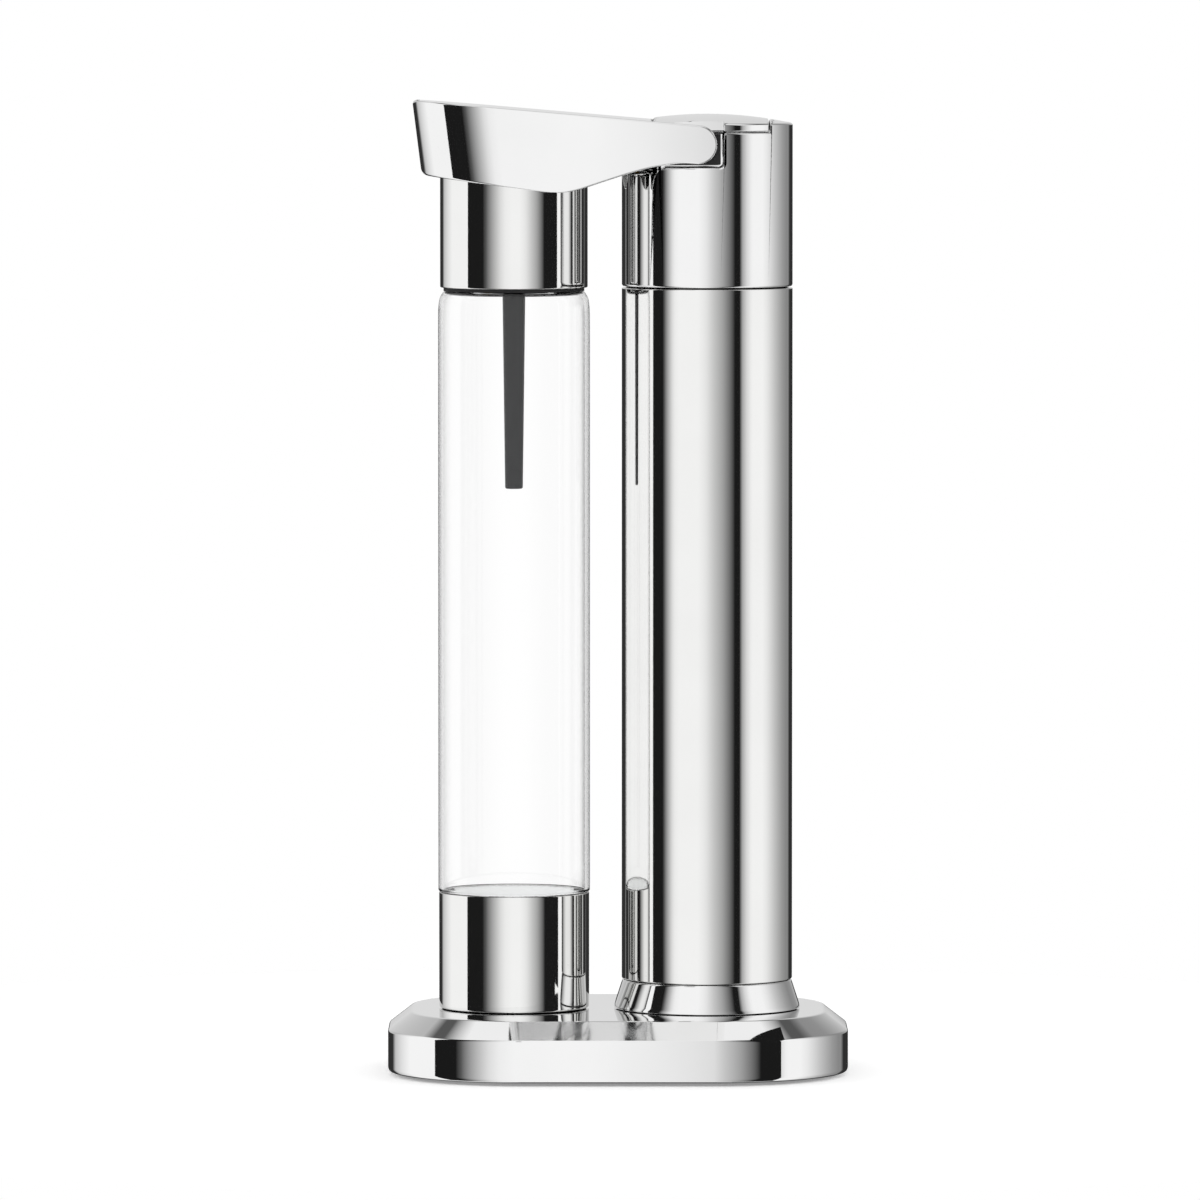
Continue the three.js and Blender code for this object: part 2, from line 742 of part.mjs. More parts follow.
const cupLow = baseTop + fitGap;
const glassLow = cupLow + cupFloor + padThickness + 2 * fitGap;
const glassTopZ = tubeHigh - fitGap;
const capLow = glassTopZ + fitGap;
const capHigh = capLow + capHeight;
const inletHigh = capHigh + inletRise;
const couplingLow = inletHigh + fitGap + washerThickness + fitGap;
const couplingHigh = couplingLow + couplingHeight;
const linerLow = capHigh + 2 * leverWall;
const pipeZ = couplingHigh - 2 * pipeRadius;

function leverInside() {
  const inset = leverWall + runGap;
  const plan = toManifold(leverPlan(inset, linerLow, linerLow + linerThickness));
  const linerEnd = rootX - bossLength - runGap;
  let liner = cut(plan, block(linerEnd, pivotX + leverNose, -leverNose, leverNose, 0, noseTop));
  liner = cut(liner, disc(couplingRadius + runGap, 0, noseTop, mediumSides, bottleX));
  place("lever_liner", toGeometry(liner), chrome);
  place("coupling_washer", ring(
    nozzleBore, couplingRadius, inletHigh + fitGap, inletHigh + fitGap + washerThickness,
    mediumSides, bottleX,
  ), rubber);
  const coupling = cut(
    toManifold(disc(couplingRadius, couplingLow, couplingHigh, mediumSides, bottleX)),
    disc(nozzleBore, 0, pipeZ, smallSides, bottleX),
  );
  place("gas_coupling", toGeometry(coupling), brass);
  const startX = bottleX + couplingRadius + fitGap;
  const endX = rootX - bossLength - fitGap;
  const bossY = (bossInner + cheekInner) / 2;
  const span = endX - startX;
  place("gas_pipe", tube([
    new THREE.Vector3(startX, 0, pipeZ),
    new THREE.Vector3(startX + pipeStraightShare * span, 0, pipeZ),
    new THREE.Vector3(startX + span / 2, bossY / 2, pipeZ),
    new THREE.Vector3(endX - pipeStraightShare * span, bossY, pipeZ),
    new THREE.Vector3(endX, bossY, pipeZ),
  ], pipeRadius, 8, 18), steel);
}

// Bottle: a glass tube with a neck, standing in a metal cup

function bottle() {
  const cupBore = cupRadius - cupWall;
  place("bottle_cup", turned([
    [0, cupLow],
    [cupRadius - fitGap, cupLow],
    [cupRadius, cupLow + fitGap],
    [cupRadius, cupLow + cupHeight],
    [cupBore, cupLow + cupHeight],
    [cupBore, cupLow + cupFloor],
    [0, cupLow + cupFloor],
  ], wideSides, bottleX), chrome);
  const padLow = cupLow + cupFloor + fitGap;
  place("cup_pad", disc(cupBore - fitGap, padLow, padLow + padThickness, mediumSides, bottleX), silicone);
  const foot = cupBore - fitGap;
  const rise = cupLow + cupHeight + fitGap;
  const bore = foot - glassWall;
  const shoulderZ = capLow - fitGap - glassShoulderRadius;
  const outer = [
    [0, glassLow],
    [foot - glassWall, glassLow],
    [foot, glassLow + glassWall],
    [foot, rise],
    [glassRadius, rise],
  ];
  for (let i = 0; i <= shoulderSteps; i++) {
    const angle = i / shoulderSteps * Math.PI / 2;
    outer.push([
      glassRadius - glassShoulderRadius * (1 - Math.cos(angle)),
      shoulderZ + glassShoulderRadius * Math.sin(angle),
    ]);
  }
  outer.push([neckRadius, glassTopZ]);
  outer.push([neckRadius, glassTopZ + neckHeight]);
  outer.push([neckRadius - glassWall, glassTopZ + neckHeight]);
  outer.push([neckRadius - glassWall, glassTopZ]);
  outer.push([glassRadius - glassWall, shoulderZ]);
  outer.push([glassRadius - glassWall, rise + 2 * glassWall]);
  outer.push([bore, rise]);
  outer.push([bore, glassLow + glassFloor + glassWall]);
  outer.push([bore - glassWall, glassLow + glassFloor]);
  outer.push([0, glassLow + glassFloor]);
  place("glass_bottle", turned(outer, wideSides, bottleX), clearGlass);
}

// Cap: a metal sleeve over a core that carries the inlet, the burst plug and the nozzle

const coreLow = glassTopZ + neckHeight + fitGap + sealThickness + fitGap;

function cap() {
  const bore = capRadius - capWall;
  place("cap_sleeve", turned([
    [bore, capLow],
    [capRadius, capLow],
    [capRadius, capHigh - capWall],
    [capRadius - capWall, capHigh],
    [bore - 2 * capWall, capHigh],
    [bore - 2 * capWall, capHigh - capWall],
    [bore, capHigh - capWall],
  ], wideSides, bottleX), chrome);
  place("cap_seal", ring(
    neckRadius - 2 * glassWall, neckRadius, glassTopZ + neckHeight + fitGap,
    glassTopZ + neckHeight + fitGap + sealThickness, mediumSides, bottleX,
  ), silicone);
  const skirtBore = neckRadius + runGap;
  const coreRadius = bore - fitGap;
  const coreHigh = capHigh - capWall - fitGap;
  const top = coreLow + coreFloor;
  let core = toManifold(turned([
    [nozzleTopRadius + fitGap, coreLow],
    [skirtBore, coreLow],
    [skirtBore, capLow + fitGap],
    [coreRadius, capLow + fitGap],
    [coreRadius, coreHigh],
    [coreRadius - capWall, coreHigh],
    [coreRadius - capWall, top],
    [nozzleTopRadius + fitGap, top],
  ], wideSides, bottleX));
  const plugX = bottleX - plugOffset;
  core = cut(core, disc(plugRadius + fitGap, coreLow - overrun, top + overrun, smallSides, plugX));
  place("cap_core", toGeometry(core), blackPlastic);
  const plugLow = coreLow + fitGap;
  place("burst_plug", turned([
    [0, plugLow],
    [plugRadius, plugLow],
    [plugRadius, top + fitGap],
    [plugRadius + capWall, top + fitGap],
    [plugRadius + capWall, top + 3 * capWall],
    [0, top + 3 * capWall],
  ], smallSides, bottleX - plugOffset), brass);
  const tipLow = capLow - nozzleLength;
  place("nozzle", turned([
    [nozzleBore, tipLow],
    [nozzleTipRadius, tipLow],
    [nozzleTopRadius, top],
    [nozzleTopRadius, top + fitGap],
    [inletRadius, top + fitGap],
    [inletRadius, top + 2 * capWall],
    [nozzleBore, top + 2 * capWall],
  ], mediumSides, bottleX), blackPlastic);
  const inletLow = top + 2 * capWall + fitGap;
  place("cap_inlet", turned([
    [nozzleBore, inletLow],
    [inletRadius, inletLow],
    [inletRadius, inletHigh],
    [nozzleBore, inletHigh],
  ], mediumSides, bottleX), brass);
  place("cap_cover", ring(
    inletRadius + fitGap, bore - 2 * capWall - fitGap, capHigh - 2 * capWall, capHigh - capWall / 2,
    wideSides, bottleX,
  ), blackPlastic);
}

baseShell();
basePlate();
bottleMat();
column();
gasCylinder();
head();
valveGear();
pivot();
lever();
leverInside();
bottle();
cap();

export default model;
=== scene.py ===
# %% [markdown]
# # A chrome sparkling water maker
# The real machine is a gas column and a glass bottle side by side on one heavy base, with a
# lever hinged in the head of the column. Nearly every part is mirror chrome, so what the eye
# reads is the reflections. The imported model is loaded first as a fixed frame. The finely
# rounded pieces are then modelled over it, and the inner parts keep their own solids.

# %% Load the frame
import json
import math

import bmesh
import bpy
from mathutils import Matrix, Vector


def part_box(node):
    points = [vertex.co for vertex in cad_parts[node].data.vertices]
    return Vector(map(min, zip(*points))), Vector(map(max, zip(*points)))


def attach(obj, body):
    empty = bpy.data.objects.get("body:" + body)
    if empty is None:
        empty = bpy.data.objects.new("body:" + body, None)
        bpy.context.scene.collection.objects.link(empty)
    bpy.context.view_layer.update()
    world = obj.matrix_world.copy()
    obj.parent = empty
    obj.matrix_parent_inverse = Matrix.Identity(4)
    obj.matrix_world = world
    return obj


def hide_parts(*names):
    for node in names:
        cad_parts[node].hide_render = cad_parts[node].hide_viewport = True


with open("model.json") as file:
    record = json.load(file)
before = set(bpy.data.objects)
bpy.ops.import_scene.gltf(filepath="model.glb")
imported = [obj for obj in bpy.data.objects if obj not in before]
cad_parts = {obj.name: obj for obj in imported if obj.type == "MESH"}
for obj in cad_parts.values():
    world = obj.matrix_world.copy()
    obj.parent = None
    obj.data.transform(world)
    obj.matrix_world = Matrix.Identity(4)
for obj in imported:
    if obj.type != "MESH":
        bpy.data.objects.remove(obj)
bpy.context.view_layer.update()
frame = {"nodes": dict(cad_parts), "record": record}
MM = 0.001
print("nodes in the frame:", len(frame["nodes"]))

# %% [markdown]
# ## Driving sizes
# The frame says where each part lies, so the sizes below are read from its boxes. A round
# part's axis is the middle of its box, and its radius is half the box's width in Y.

# %% Read sizes from the frame


def middle(node):
    low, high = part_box(node)
    return [(a + b) / 2 for a, b in zip(low, high)]


def low_z(node):
    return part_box(node)[0][2]


def high_z(node):
    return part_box(node)[1][2]


def half_width(node):
    low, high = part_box(node)
    return (high[1] - low[1]) / 2


COLUMN_X = middle("column_tube")[0]
BOTTLE_X = middle("glass_bottle")[0]
COLUMN_RADIUS = half_width("column_tube")
GLASS_RADIUS = half_width("glass_bottle")
PIVOT_X = middle("pivot_pin")[0]
PIVOT_Z = middle("pivot_pin")[2]
GAP = 0.3 * MM
ROUND_STEPS = 128
print("column at", round(COLUMN_X, 4), "bottle at", round(BOTTLE_X, 4))
print("pivot height", round(PIVOT_Z, 4))

# %% [markdown]
# ## Camera
# The photograph looks along +Y at the long side, from a little above, with a long lens: the
# rings near the base are more open ellipses than those near the top, which puts the camera
# about five metres away and just above the machine.

# %% Make the camera
PHOTO_SIDE = 1200
MM_PER_PIXEL = 0.4223
ORIGIN_PX = (618, 1072)
CAMERA_HEIGHT = 0.48
CAMERA_DISTANCE = 4.92
# The width of the camera's sensor, in millimetres
SENSOR = 36

aim_x = (PHOTO_SIDE / 2 - ORIGIN_PX[0]) * MM_PER_PIXEL * MM
aim_z = (ORIGIN_PX[1] - PHOTO_SIDE / 2) * MM_PER_PIXEL * MM
camera_data = bpy.data.cameras.new("camera")
camera = bpy.data.objects.new("camera", camera_data)
bpy.context.scene.collection.objects.link(camera)
camera.location = (aim_x, -CAMERA_DISTANCE, CAMERA_HEIGHT)
sight = Vector((aim_x, 0, aim_z)) - camera.location
camera.rotation_euler = sight.to_track_quat("-Z", "Y").to_euler()
camera_data.sensor_width = SENSOR
camera_data.lens = SENSOR * sight.length / (PHOTO_SIDE * MM_PER_PIXEL * MM)
bpy.context.scene.camera = camera
print("lens", round(camera_data.lens, 1), "mm")

# %% [markdown]
# ## Materials
# Each finish starts from its real substance. A small helper adds one node with its settings
# and links, and colours are written as sRGB hex values and turned to linear in one place.

# %% Node helpers


def linear(hex_colour):
    """A hex colour as the linear values that a shader takes, by the curve of the sRGB standard."""
    channels = [int(hex_colour[i : i + 2], 16) / 255 for i in (1, 3, 5)]
    curved = [c / 12.92 if c <= 0.04045 else ((c + 0.055) / 1.055) ** 2.4 for c in channels]
    return (*curved, 1.0)


def grey(level):
    return (level, level, level, 1)


def add_node(tree, kind, settings=None, **links):
    """Adds a node. Settings are its attributes. Each link is an input's name, or in_ and its
    number, with a value or a pair of another node and its output."""
    node = tree.nodes.new(kind)
    for key, value in (settings or {}).items():
        setattr(node, key, value)
    for name, value in links.items():
        numbered = name.startswith("in_")
        socket = node.inputs[int(name[3:]) if numbered else name.replace("_", " ")]
        if isinstance(value, tuple) and hasattr(value[0], "outputs"):
            tree.links.new(value[0].outputs[value[1]], socket)
        else:
            socket.default_value = value
    return node


def fill_ramp(ramp_node, stops):
    """Gives a colour ramp its stops, each a position with a colour."""
    ramp = ramp_node.color_ramp
    ramp.interpolation = "LINEAR"
    while len(ramp.elements) > 1:
        ramp.elements.remove(ramp.elements[-1])
    for i, (position, colour) in enumerate(stops):
        element = ramp.elements[0] if i == 0 else ramp.elements.new(position)
        element.position = position
        element.color = colour


def new_material(name):
    material = bpy.data.materials.new(name)
    material.use_nodes = True
    tree = material.node_tree
    tree.nodes.clear()
    return material, tree


# %% [markdown]
# Bright chrome plate over a polished casting or tube. Chrome is a hard, bluish-white mirror.
# What gives it away as a real surface is a very slight waviness left by the buffing wheel and
# a faint film of handling, which dulls the mirror by a few hundredths in soft patches.

# %% Chrome, polished steel and other metals
POLISH_WAVE = 26 * MM
WAVE_HEIGHT = 0.0008 * MM
HANDLING_PATCH = 34 * MM
HANDLING_FILM = 0.035
# The lathe's streaks, how uneven they are, and the depth of a ring against its pitch
LATHE_STREAK = 6 * MM
LATHE_FILM = 0.15
LATHE_DEPTH = 1 / 12
# A wave texture of this scale has one ring in each unit of length
ONE_RING = math.pi / 10


def mirror_metal(name, colour, filmed, roughness):
    """A buffed mirror: the eye sees clean reflections, barely wavy and in patches a bit soft."""
    material, tree = new_material(name)
    place = add_node(tree, "ShaderNodeTexCoord")
    patches = add_node(
        tree, "ShaderNodeTexNoise", None, Vector=(place, "Object"), Scale=1 / HANDLING_PATCH,
        Detail=4.0,
    )
    dulled = add_node(
        tree, "ShaderNodeMapRange", None, Value=(patches, 0), To_Min=roughness,
        To_Max=roughness + HANDLING_FILM,
    )
    waves = add_node(
        tree, "ShaderNodeTexNoise", None, Vector=(place, "Object"), Scale=1 / POLISH_WAVE,
        Detail=1.0,
    )
    bump = add_node(
        tree, "ShaderNodeBump", None, Height=(waves, 0), Strength=1.0, Distance=WAVE_HEIGHT,
    )
    tint = add_node(
        tree, "ShaderNodeMix", {"data_type": "RGBA"}, in_0=(patches, 0),
        in_6=linear(colour), in_7=linear(filmed),
    )
    shader = add_node(
        tree, "ShaderNodeBsdfPrincipled", None, Base_Color=(tint, 2), Metallic=1.0,
        Roughness=(dulled, 0), Normal=(bump, 0),
    )
    add_node(tree, "ShaderNodeOutputMaterial", None, Surface=(shader, 0))
    return material


def turned_metal(name, colour, roughness, pitch):
    """Metal from the lathe: the eye sees fine rings, one for each feed of the tool."""
    material, tree = new_material(name)
    place = add_node(tree, "ShaderNodeTexCoord")
    rings = add_node(
        tree, "ShaderNodeTexWave", {"bands_direction": "Z"}, Vector=(place, "Object"),
        Scale=ONE_RING / pitch, Distortion=0.6, Detail=2.0,
    )
    bump = add_node(
        tree, "ShaderNodeBump", None, Height=(rings, 1), Strength=0.5, Distance=pitch * LATHE_DEPTH,
    )
    streaks = add_node(
        tree, "ShaderNodeTexNoise", None, Vector=(place, "Object"), Scale=1 / LATHE_STREAK,
        Detail=5.0,
    )
    dulled = add_node(
        tree, "ShaderNodeMapRange", None, Value=(streaks, 0), To_Min=roughness,
        To_Max=roughness + LATHE_FILM,
    )
    shader = add_node(
        tree, "ShaderNodeBsdfPrincipled", None, Base_Color=linear(colour), Metallic=1.0,
        Roughness=(dulled, 0), Normal=(bump, 0),
    )
    add_node(tree, "ShaderNodeOutputMaterial", None, Surface=(shader, 0))
    return material


chrome_plate = mirror_metal("bright chrome plate, buffed", "#f6f6f6", "#efefef", 0.02)
polished_steel = mirror_metal("stainless steel tube, mirror polished", "#f4f4f3", "#ededec", 0.025)
turned_brass = turned_metal("turned brass", "#c9a45c", 0.22, 0.35 * MM)
turned_steel = turned_metal("turned steel", "#b4b6b8", 0.24, 0.3 * MM)
print("metals made")

# %% [markdown]
# Clear soda-lime glass, blown into a mould and fire polished. The eye looks straight through
# it and sees it only by its two grey side lines, where the wall is seen edge on and swallows
# light. Real glass bends light by 1.52. With 1.4 the side lines come out about as narrow as
# in the photograph. Light on its way to a matt surface passes through without bending.

# %% Glass
GLASS_FILM = 40 * MM
FILM_ROUGHNESS = 0.002
# How much light the glass lets through, from face on at 0 to edge on at 1
GLASS_EDGE = ((0.0, 1.0), (0.5, 0.99), (0.6, 0.9), (0.7, 0.72), (0.85, 0.62), (1.0, 0.5))


def clear_glass_finish():
    material, tree = new_material("clear soda-lime glass, fire polished")
    place = add_node(tree, "ShaderNodeTexCoord")
    breath = add_node(
        tree, "ShaderNodeTexNoise", None, Vector=(place, "Object"), Scale=1 / GLASS_FILM,
        Detail=3.0,
    )
    film = add_node(
        tree, "ShaderNodeMapRange", None, Value=(breath, 0), To_Min=0.0, To_Max=FILM_ROUGHNESS,
    )
    edge_on = add_node(tree, "ShaderNodeLayerWeight", None, Blend=0.5)
    tone = add_node(tree, "ShaderNodeValToRGB", None, Fac=(edge_on, "Facing"))
    fill_ramp(tone, [(at, grey(level)) for at, level in GLASS_EDGE])
    shader = add_node(
        tree, "ShaderNodeBsdfPrincipled", None, Base_Color=(tone, 0), Roughness=(film, 0),
        IOR=1.4, Transmission_Weight=1.0,
    )
    path = add_node(tree, "ShaderNodeLightPath")
    soft_light = add_node(
        tree, "ShaderNodeMath", {"operation": "MAXIMUM"}, in_0=(path, "Is Shadow Ray"),
        in_1=(path, "Is Diffuse Ray"),
    )
    let_through = add_node(tree, "ShaderNodeBsdfTransparent")
    shader = add_node(
        tree, "ShaderNodeMixShader", None, in_0=(soft_light, 0), in_1=(shader, 0),
        in_2=(let_through, 0),
    )
    add_node(tree, "ShaderNodeOutputMaterial", None, Surface=(shader, 0))
    return material


clear_glass = clear_glass_finish()
print("glass made")

# %% [markdown]
# Plastic, rubber and paint. Moulded ABS takes the fine grain of the etched tool, which the eye
# sees as a soft sheen. Acetal is smoother and shines in one narrow streak. Rubber is matt with
# a bloom of wax. Silicone is milky, and it is given a faint glow of its own: painted light that
# stands in for the light the thick glass leads into the cup. The gas cylinder wears a satin
# powder coat with orange peel. The walls in the head's notches are painted flat black, as
# painted shade for the dark slots that the lever's cheeks run in.

# %% Plastic, rubber and paint
# Pale clouds are this many grains wide, and this much rougher
CLOUD_GRAINS = 30
CLOUD_BLOOM = 0.12


# A glow, where one is given, is painted light: the part is no lamp
def moulded(name, colour, lighter, roughness, grain, depth, specular=0.5, glow=0.0):
    material, tree = new_material(name)
    place = add_node(tree, "ShaderNodeTexCoord")
    texture = add_node(
        tree, "ShaderNodeTexNoise", None, Vector=(place, "Object"), Scale=1 / grain, Detail=3.0,
    )
    cloud = add_node(
        tree, "ShaderNodeTexNoise", None, Vector=(place, "Object"),
        Scale=1 / (CLOUD_GRAINS * grain), Detail=3.0,
    )
    tint = add_node(
        tree, "ShaderNodeMix", {"data_type": "RGBA"}, in_0=(cloud, 0), in_6=linear(colour),
        in_7=linear(lighter),
    )
    dulled = add_node(
        tree, "ShaderNodeMapRange", None, Value=(cloud, 0), To_Min=roughness,
        To_Max=roughness + CLOUD_BLOOM,
    )
    bump = add_node(
        tree, "ShaderNodeBump", None, Height=(texture, 0), Strength=0.6, Distance=depth,
    )
    shader = add_node(
        tree, "ShaderNodeBsdfPrincipled", None, Base_Color=(tint, 2), Roughness=(dulled, 0),
        Normal=(bump, 0), IOR=1.5, Specular_IOR_Level=specular, Emission_Color=(tint, 2),
        Emission_Strength=glow,
    )
    add_node(tree, "ShaderNodeOutputMaterial", None, Surface=(shader, 0))
    return material


black_plastic = moulded(
    "black ABS, fine-grained moulding", "#1f2022", "#2a2b2d", 0.38, 0.5 * MM, 0.03 * MM,
)
nozzle_plastic = moulded(
    "anthracite acetal tube, satin", "#0d0e10", "#141518", 0.3, 0.6 * MM, 0.01 * MM, specular=0.1,
)
rubber = moulded("black rubber, matt", "#161617", "#222223", 0.72, 0.7 * MM, 0.06 * MM)
# Its glow is painted light, standing in for the light the glass leads into the cup
silicone = moulded(
    "pale silicone seal with a painted glow", "#f0f1f1", "#f7f8f8", 0.5, 0.8 * MM, 0.03 * MM, glow=0.24,
)
powder_coat = moulded(
    "grey powder coat, satin", "#7d838a", "#868c93", 0.36, 1.1 * MM, 0.05 * MM,
)
# Painted shade: flat black for the notch walls, where the slots beside the lever lie in shadow
painted_shade_black = moulded(
    "black, painted shade in the head's notches", "#121213", "#1a1a1b", 0.4, 0.6 * MM, 0.02 * MM,
)
print("materials:", len(bpy.data.materials))

# %% [markdown]
# ## Studio
# The machine stands on a white sweep under an even white light. Chrome would vanish there, so
# a photographer leaves the sides and the back of the room darker and hangs a light overhead.
# The world is that room, but only mirrors see it: the camera sees plain white, and matt
# surfaces get an even light from it.

# %% World
SKY_LEVEL = 0.86
BACKDROP_LEVEL = 1.0
# Directions of what a mirror sees, in degrees to the right of the camera, with its brightness
SURROUNDINGS = (
    (-180, 0.74), (-144, 0.5), (-127, 0.8), (-113, 1.0), (80, 1.0), (88, 0.9), (96, 0.75),
    (104, 0.6), (113, 0.47), (123, 0.35), (136, 0.26), (150, 0.3), (180, 0.74),
)
# The dark room behind the table: a mirror's rim shows it, as a fine dark outline
REAR_START = 148
REAR_LEVEL = 0.03
# How softly it ends, as a share of the full circle and as a height of the direction
REAR_SOFT = 0.02
HORIZON_SOFT = 0.004
# By the height of the direction: how much of the view the ceiling takes, and its brightness.
# It starts with an unlit ring between the front light and the light overhead.
OVERHEAD = ((0.0, 0), (0.66, 0), (0.74, 1), (1.0, 1))
RING = ((0.0, 0.1), (0.8, 0.1), (0.9, 0.95), (1.0, 0.95))


def make_world():
    world = bpy.data.worlds.new("studio")
    world.use_nodes = True
    tree = world.node_tree
    tree.nodes.clear()
    place = add_node(tree, "ShaderNodeTexCoord")
    turned = add_node(
        tree, "ShaderNodeMapping", None, Vector=(place, "Generated"), Rotation=(0, 0, math.pi / 2),
    )
    round_about = add_node(
        tree, "ShaderNodeTexGradient", {"gradient_type": "RADIAL"}, Vector=(turned, 0),
    )
    walls = add_node(tree, "ShaderNodeValToRGB", None, Fac=(round_about, 1))
    fill_ramp(walls, [(0.5 + angle / 360, grey(level)) for angle, level in SURROUNDINGS])
    rear = add_node(tree, "ShaderNodeValToRGB", None, Fac=(round_about, 1))
    edge = REAR_START / 360
    fill_ramp(rear, [
        (0.0, grey(1)), (0.5 - edge, grey(1)), (0.5 + REAR_SOFT - edge, grey(0)),
        (0.5 - REAR_SOFT + edge, grey(0)), (0.5 + edge, grey(1)),
    ])
    height = add_node(tree, "ShaderNodeSeparateXYZ", None, Vector=(place, "Generated"))
    low_down = add_node(
        tree, "ShaderNodeMapRange", None, Value=(height, "Z"), From_Min=HORIZON_SOFT,
        From_Max=-HORIZON_SOFT,
    )
    outline = add_node(
        tree, "ShaderNodeMath", {"operation": "MULTIPLY"}, in_0=(rear, 0), in_1=(low_down, 0),
    )
    level_view = add_node(
        tree, "ShaderNodeMix", {"data_type": "RGBA"}, in_0=(outline, 0), in_6=(walls, 0),
        in_7=grey(REAR_LEVEL),
    )
    overhead = add_node(tree, "ShaderNodeValToRGB", None, Fac=(height, "Z"))
    fill_ramp(overhead, [(at, grey(share)) for at, share in OVERHEAD])
    ring = add_node(tree, "ShaderNodeValToRGB", None, Fac=(height, "Z"))
    fill_ramp(ring, [(at, grey(level)) for at, level in RING])
    mirrored = add_node(
        tree, "ShaderNodeMix", {"data_type": "RGBA"}, in_0=(overhead, 0), in_6=(level_view, 2),
        in_7=(ring, 0),
    )
    path = add_node(tree, "ShaderNodeLightPath")
    plain = add_node(tree, "ShaderNodeBackground", None, Color=grey(1), Strength=SKY_LEVEL)
    mirror = add_node(tree, "ShaderNodeBackground", None, Color=(mirrored, 2), Strength=1.0)
    backdrop = add_node(
        tree, "ShaderNodeBackground", None, Color=grey(1), Strength=BACKDROP_LEVEL,
    )
    seen = add_node(
        tree, "ShaderNodeMixShader", None, in_0=(path, "Is Glossy Ray"), in_1=(plain, 0),
        in_2=(mirror, 0),
    )
    direct = add_node(
        tree, "ShaderNodeMath", {"operation": "MAXIMUM"}, in_0=(path, "Is Camera Ray"),
        in_1=(path, "Is Transmission Ray"),
    )
    shown = add_node(
        tree, "ShaderNodeMixShader", None, in_0=(direct, 0), in_1=(seen, 0), in_2=(backdrop, 0),
    )
    add_node(tree, "ShaderNodeOutputWorld", None, Surface=(shown, 0))
    bpy.context.scene.world = world


make_world()
print("directions in the studio:", len(SURROUNDINGS))

# %% [markdown]
# Two black cards stand close to the machine, one at each side of the lens, and a light falls
# off across them. Being close is what sets them at another place in each round piece, so they
# are real planes. A narrow black flag stands edge on to the column, where the column's mirror
# can't show it, and widens the dark band in the cap and the cup. It is in two pieces, because
# its foot has to clear the flared ring as well. Only mirrors see any of them: they cast no
# shadow, and the camera looks through them.

# %% Black cards
CARD_LOW, CARD_HIGH = -0.5, 0.95
BLACK = 0.011
# Each step is a place across the card, in metres, and how bright the card is there
LEFT_FADE = (
    (-0.5, BLACK), (-0.172, BLACK), (-0.15, 0.1), (-0.13, 0.28), (-0.115, 0.43), (-0.1, 0.6),
    (-0.085, 0.8), (-0.07, 0.94), (-0.05, 1.0),
)
RIGHT_FADE = (
    (-0.045, 1.0), (-0.01, 1.0), (0.016, 0.93), (0.033, 0.86), (0.05, 0.75), (0.073, 0.61),
    (0.1, 0.48), (0.117, 0.4), (0.141, 0.27), (0.167, 0.15), (0.19, 0.05), (0.2, BLACK),
    (0.245, BLACK), (0.278, 0.45), (0.335, 0.75), (0.414, 0.95), (0.47, 1.0),
)
FLAG_FADE = ((0.0, BLACK), (1.0, BLACK))
FLAG_FOOT = 0.028
# Each card: its two ends as seen from above, its foot and top, and its fade
CARDS = {
    "card_left": ((-0.5, -0.128), (-0.05, -0.128), CARD_LOW, CARD_HIGH, LEFT_FADE),
    "card_right": ((-0.045, -0.232), (0.47, -0.232), CARD_LOW, CARD_HIGH, RIGHT_FADE),
    "flag_edge_on": ((0.0699, -0.0563), (0.2208, -0.23), FLAG_FOOT, 0.5, FLAG_FADE),
    "flag_foot": ((0.088, -0.0771), (0.2208, -0.23), -0.3, FLAG_FOOT, FLAG_FADE),
}


def stand_up(bm):
    """Turns what lies flat a quarter turn about X."""
    bmesh.ops.rotate(
        bm, verts=bm.verts, cent=(0, 0, 0), matrix=Matrix.Rotation(math.pi / 2, 3, "X"),
    )


def put_in_scene(bm, name, material=None):
    """Makes the bmesh an object at the origin, with its place in its mesh."""
    mesh = bpy.data.meshes.new(name)
    bm.to_mesh(mesh)
    bm.free()
    if material:
        mesh.materials.append(material)
    thing = bpy.data.objects.new(name, mesh)
    bpy.context.scene.collection.objects.link(thing)
    return thing


def black_cards():
    for name, (near, far, low, high, fade) in CARDS.items():
        material, tree = new_material(f"studio {name}")
        place = add_node(tree, "ShaderNodeTexCoord")
        across = add_node(tree, "ShaderNodeSeparateXYZ", None, Vector=(place, "Object"))
        first, last = fade[0][0], fade[-1][0]
        along = add_node(
            tree, "ShaderNodeMapRange", None, Value=(across, "X"), From_Min=first, From_Max=last,
        )
        tone = add_node(tree, "ShaderNodeValToRGB", None, Fac=(along, 0))
        fill_ramp(tone, [((at - first) / (last - first), grey(level)) for at, level in fade])
        velvet = add_node(tree, "ShaderNodeEmission", None, Color=(tone, 0), Strength=1.0)
        add_node(tree, "ShaderNodeOutputMaterial", None, Surface=(velvet, 0))
        near, far = Vector(near), Vector(far)
        middle_point = (near + far) / 2
        turn = math.atan2(far.y - near.y, far.x - near.x)
        bm = bmesh.new()
        bmesh.ops.create_grid(bm, x_segments=1, y_segments=1, size=0.5)
        stand_up(bm)
        bmesh.ops.scale(bm, verts=bm.verts, vec=((far - near).length, 1, high - low))
        bmesh.ops.rotate(
            bm, verts=bm.verts, cent=(0, 0, 0), matrix=Matrix.Rotation(turn, 3, "Z"),
        )
        bmesh.ops.translate(bm, verts=bm.verts, vec=(*middle_point, (low + high) / 2))
        card = put_in_scene(bm, name, material)
        card.visible_camera = card.visible_diffuse = False
        card.visible_transmission = card.visible_shadow = False


black_cards()
print("cards:", len(CARDS))

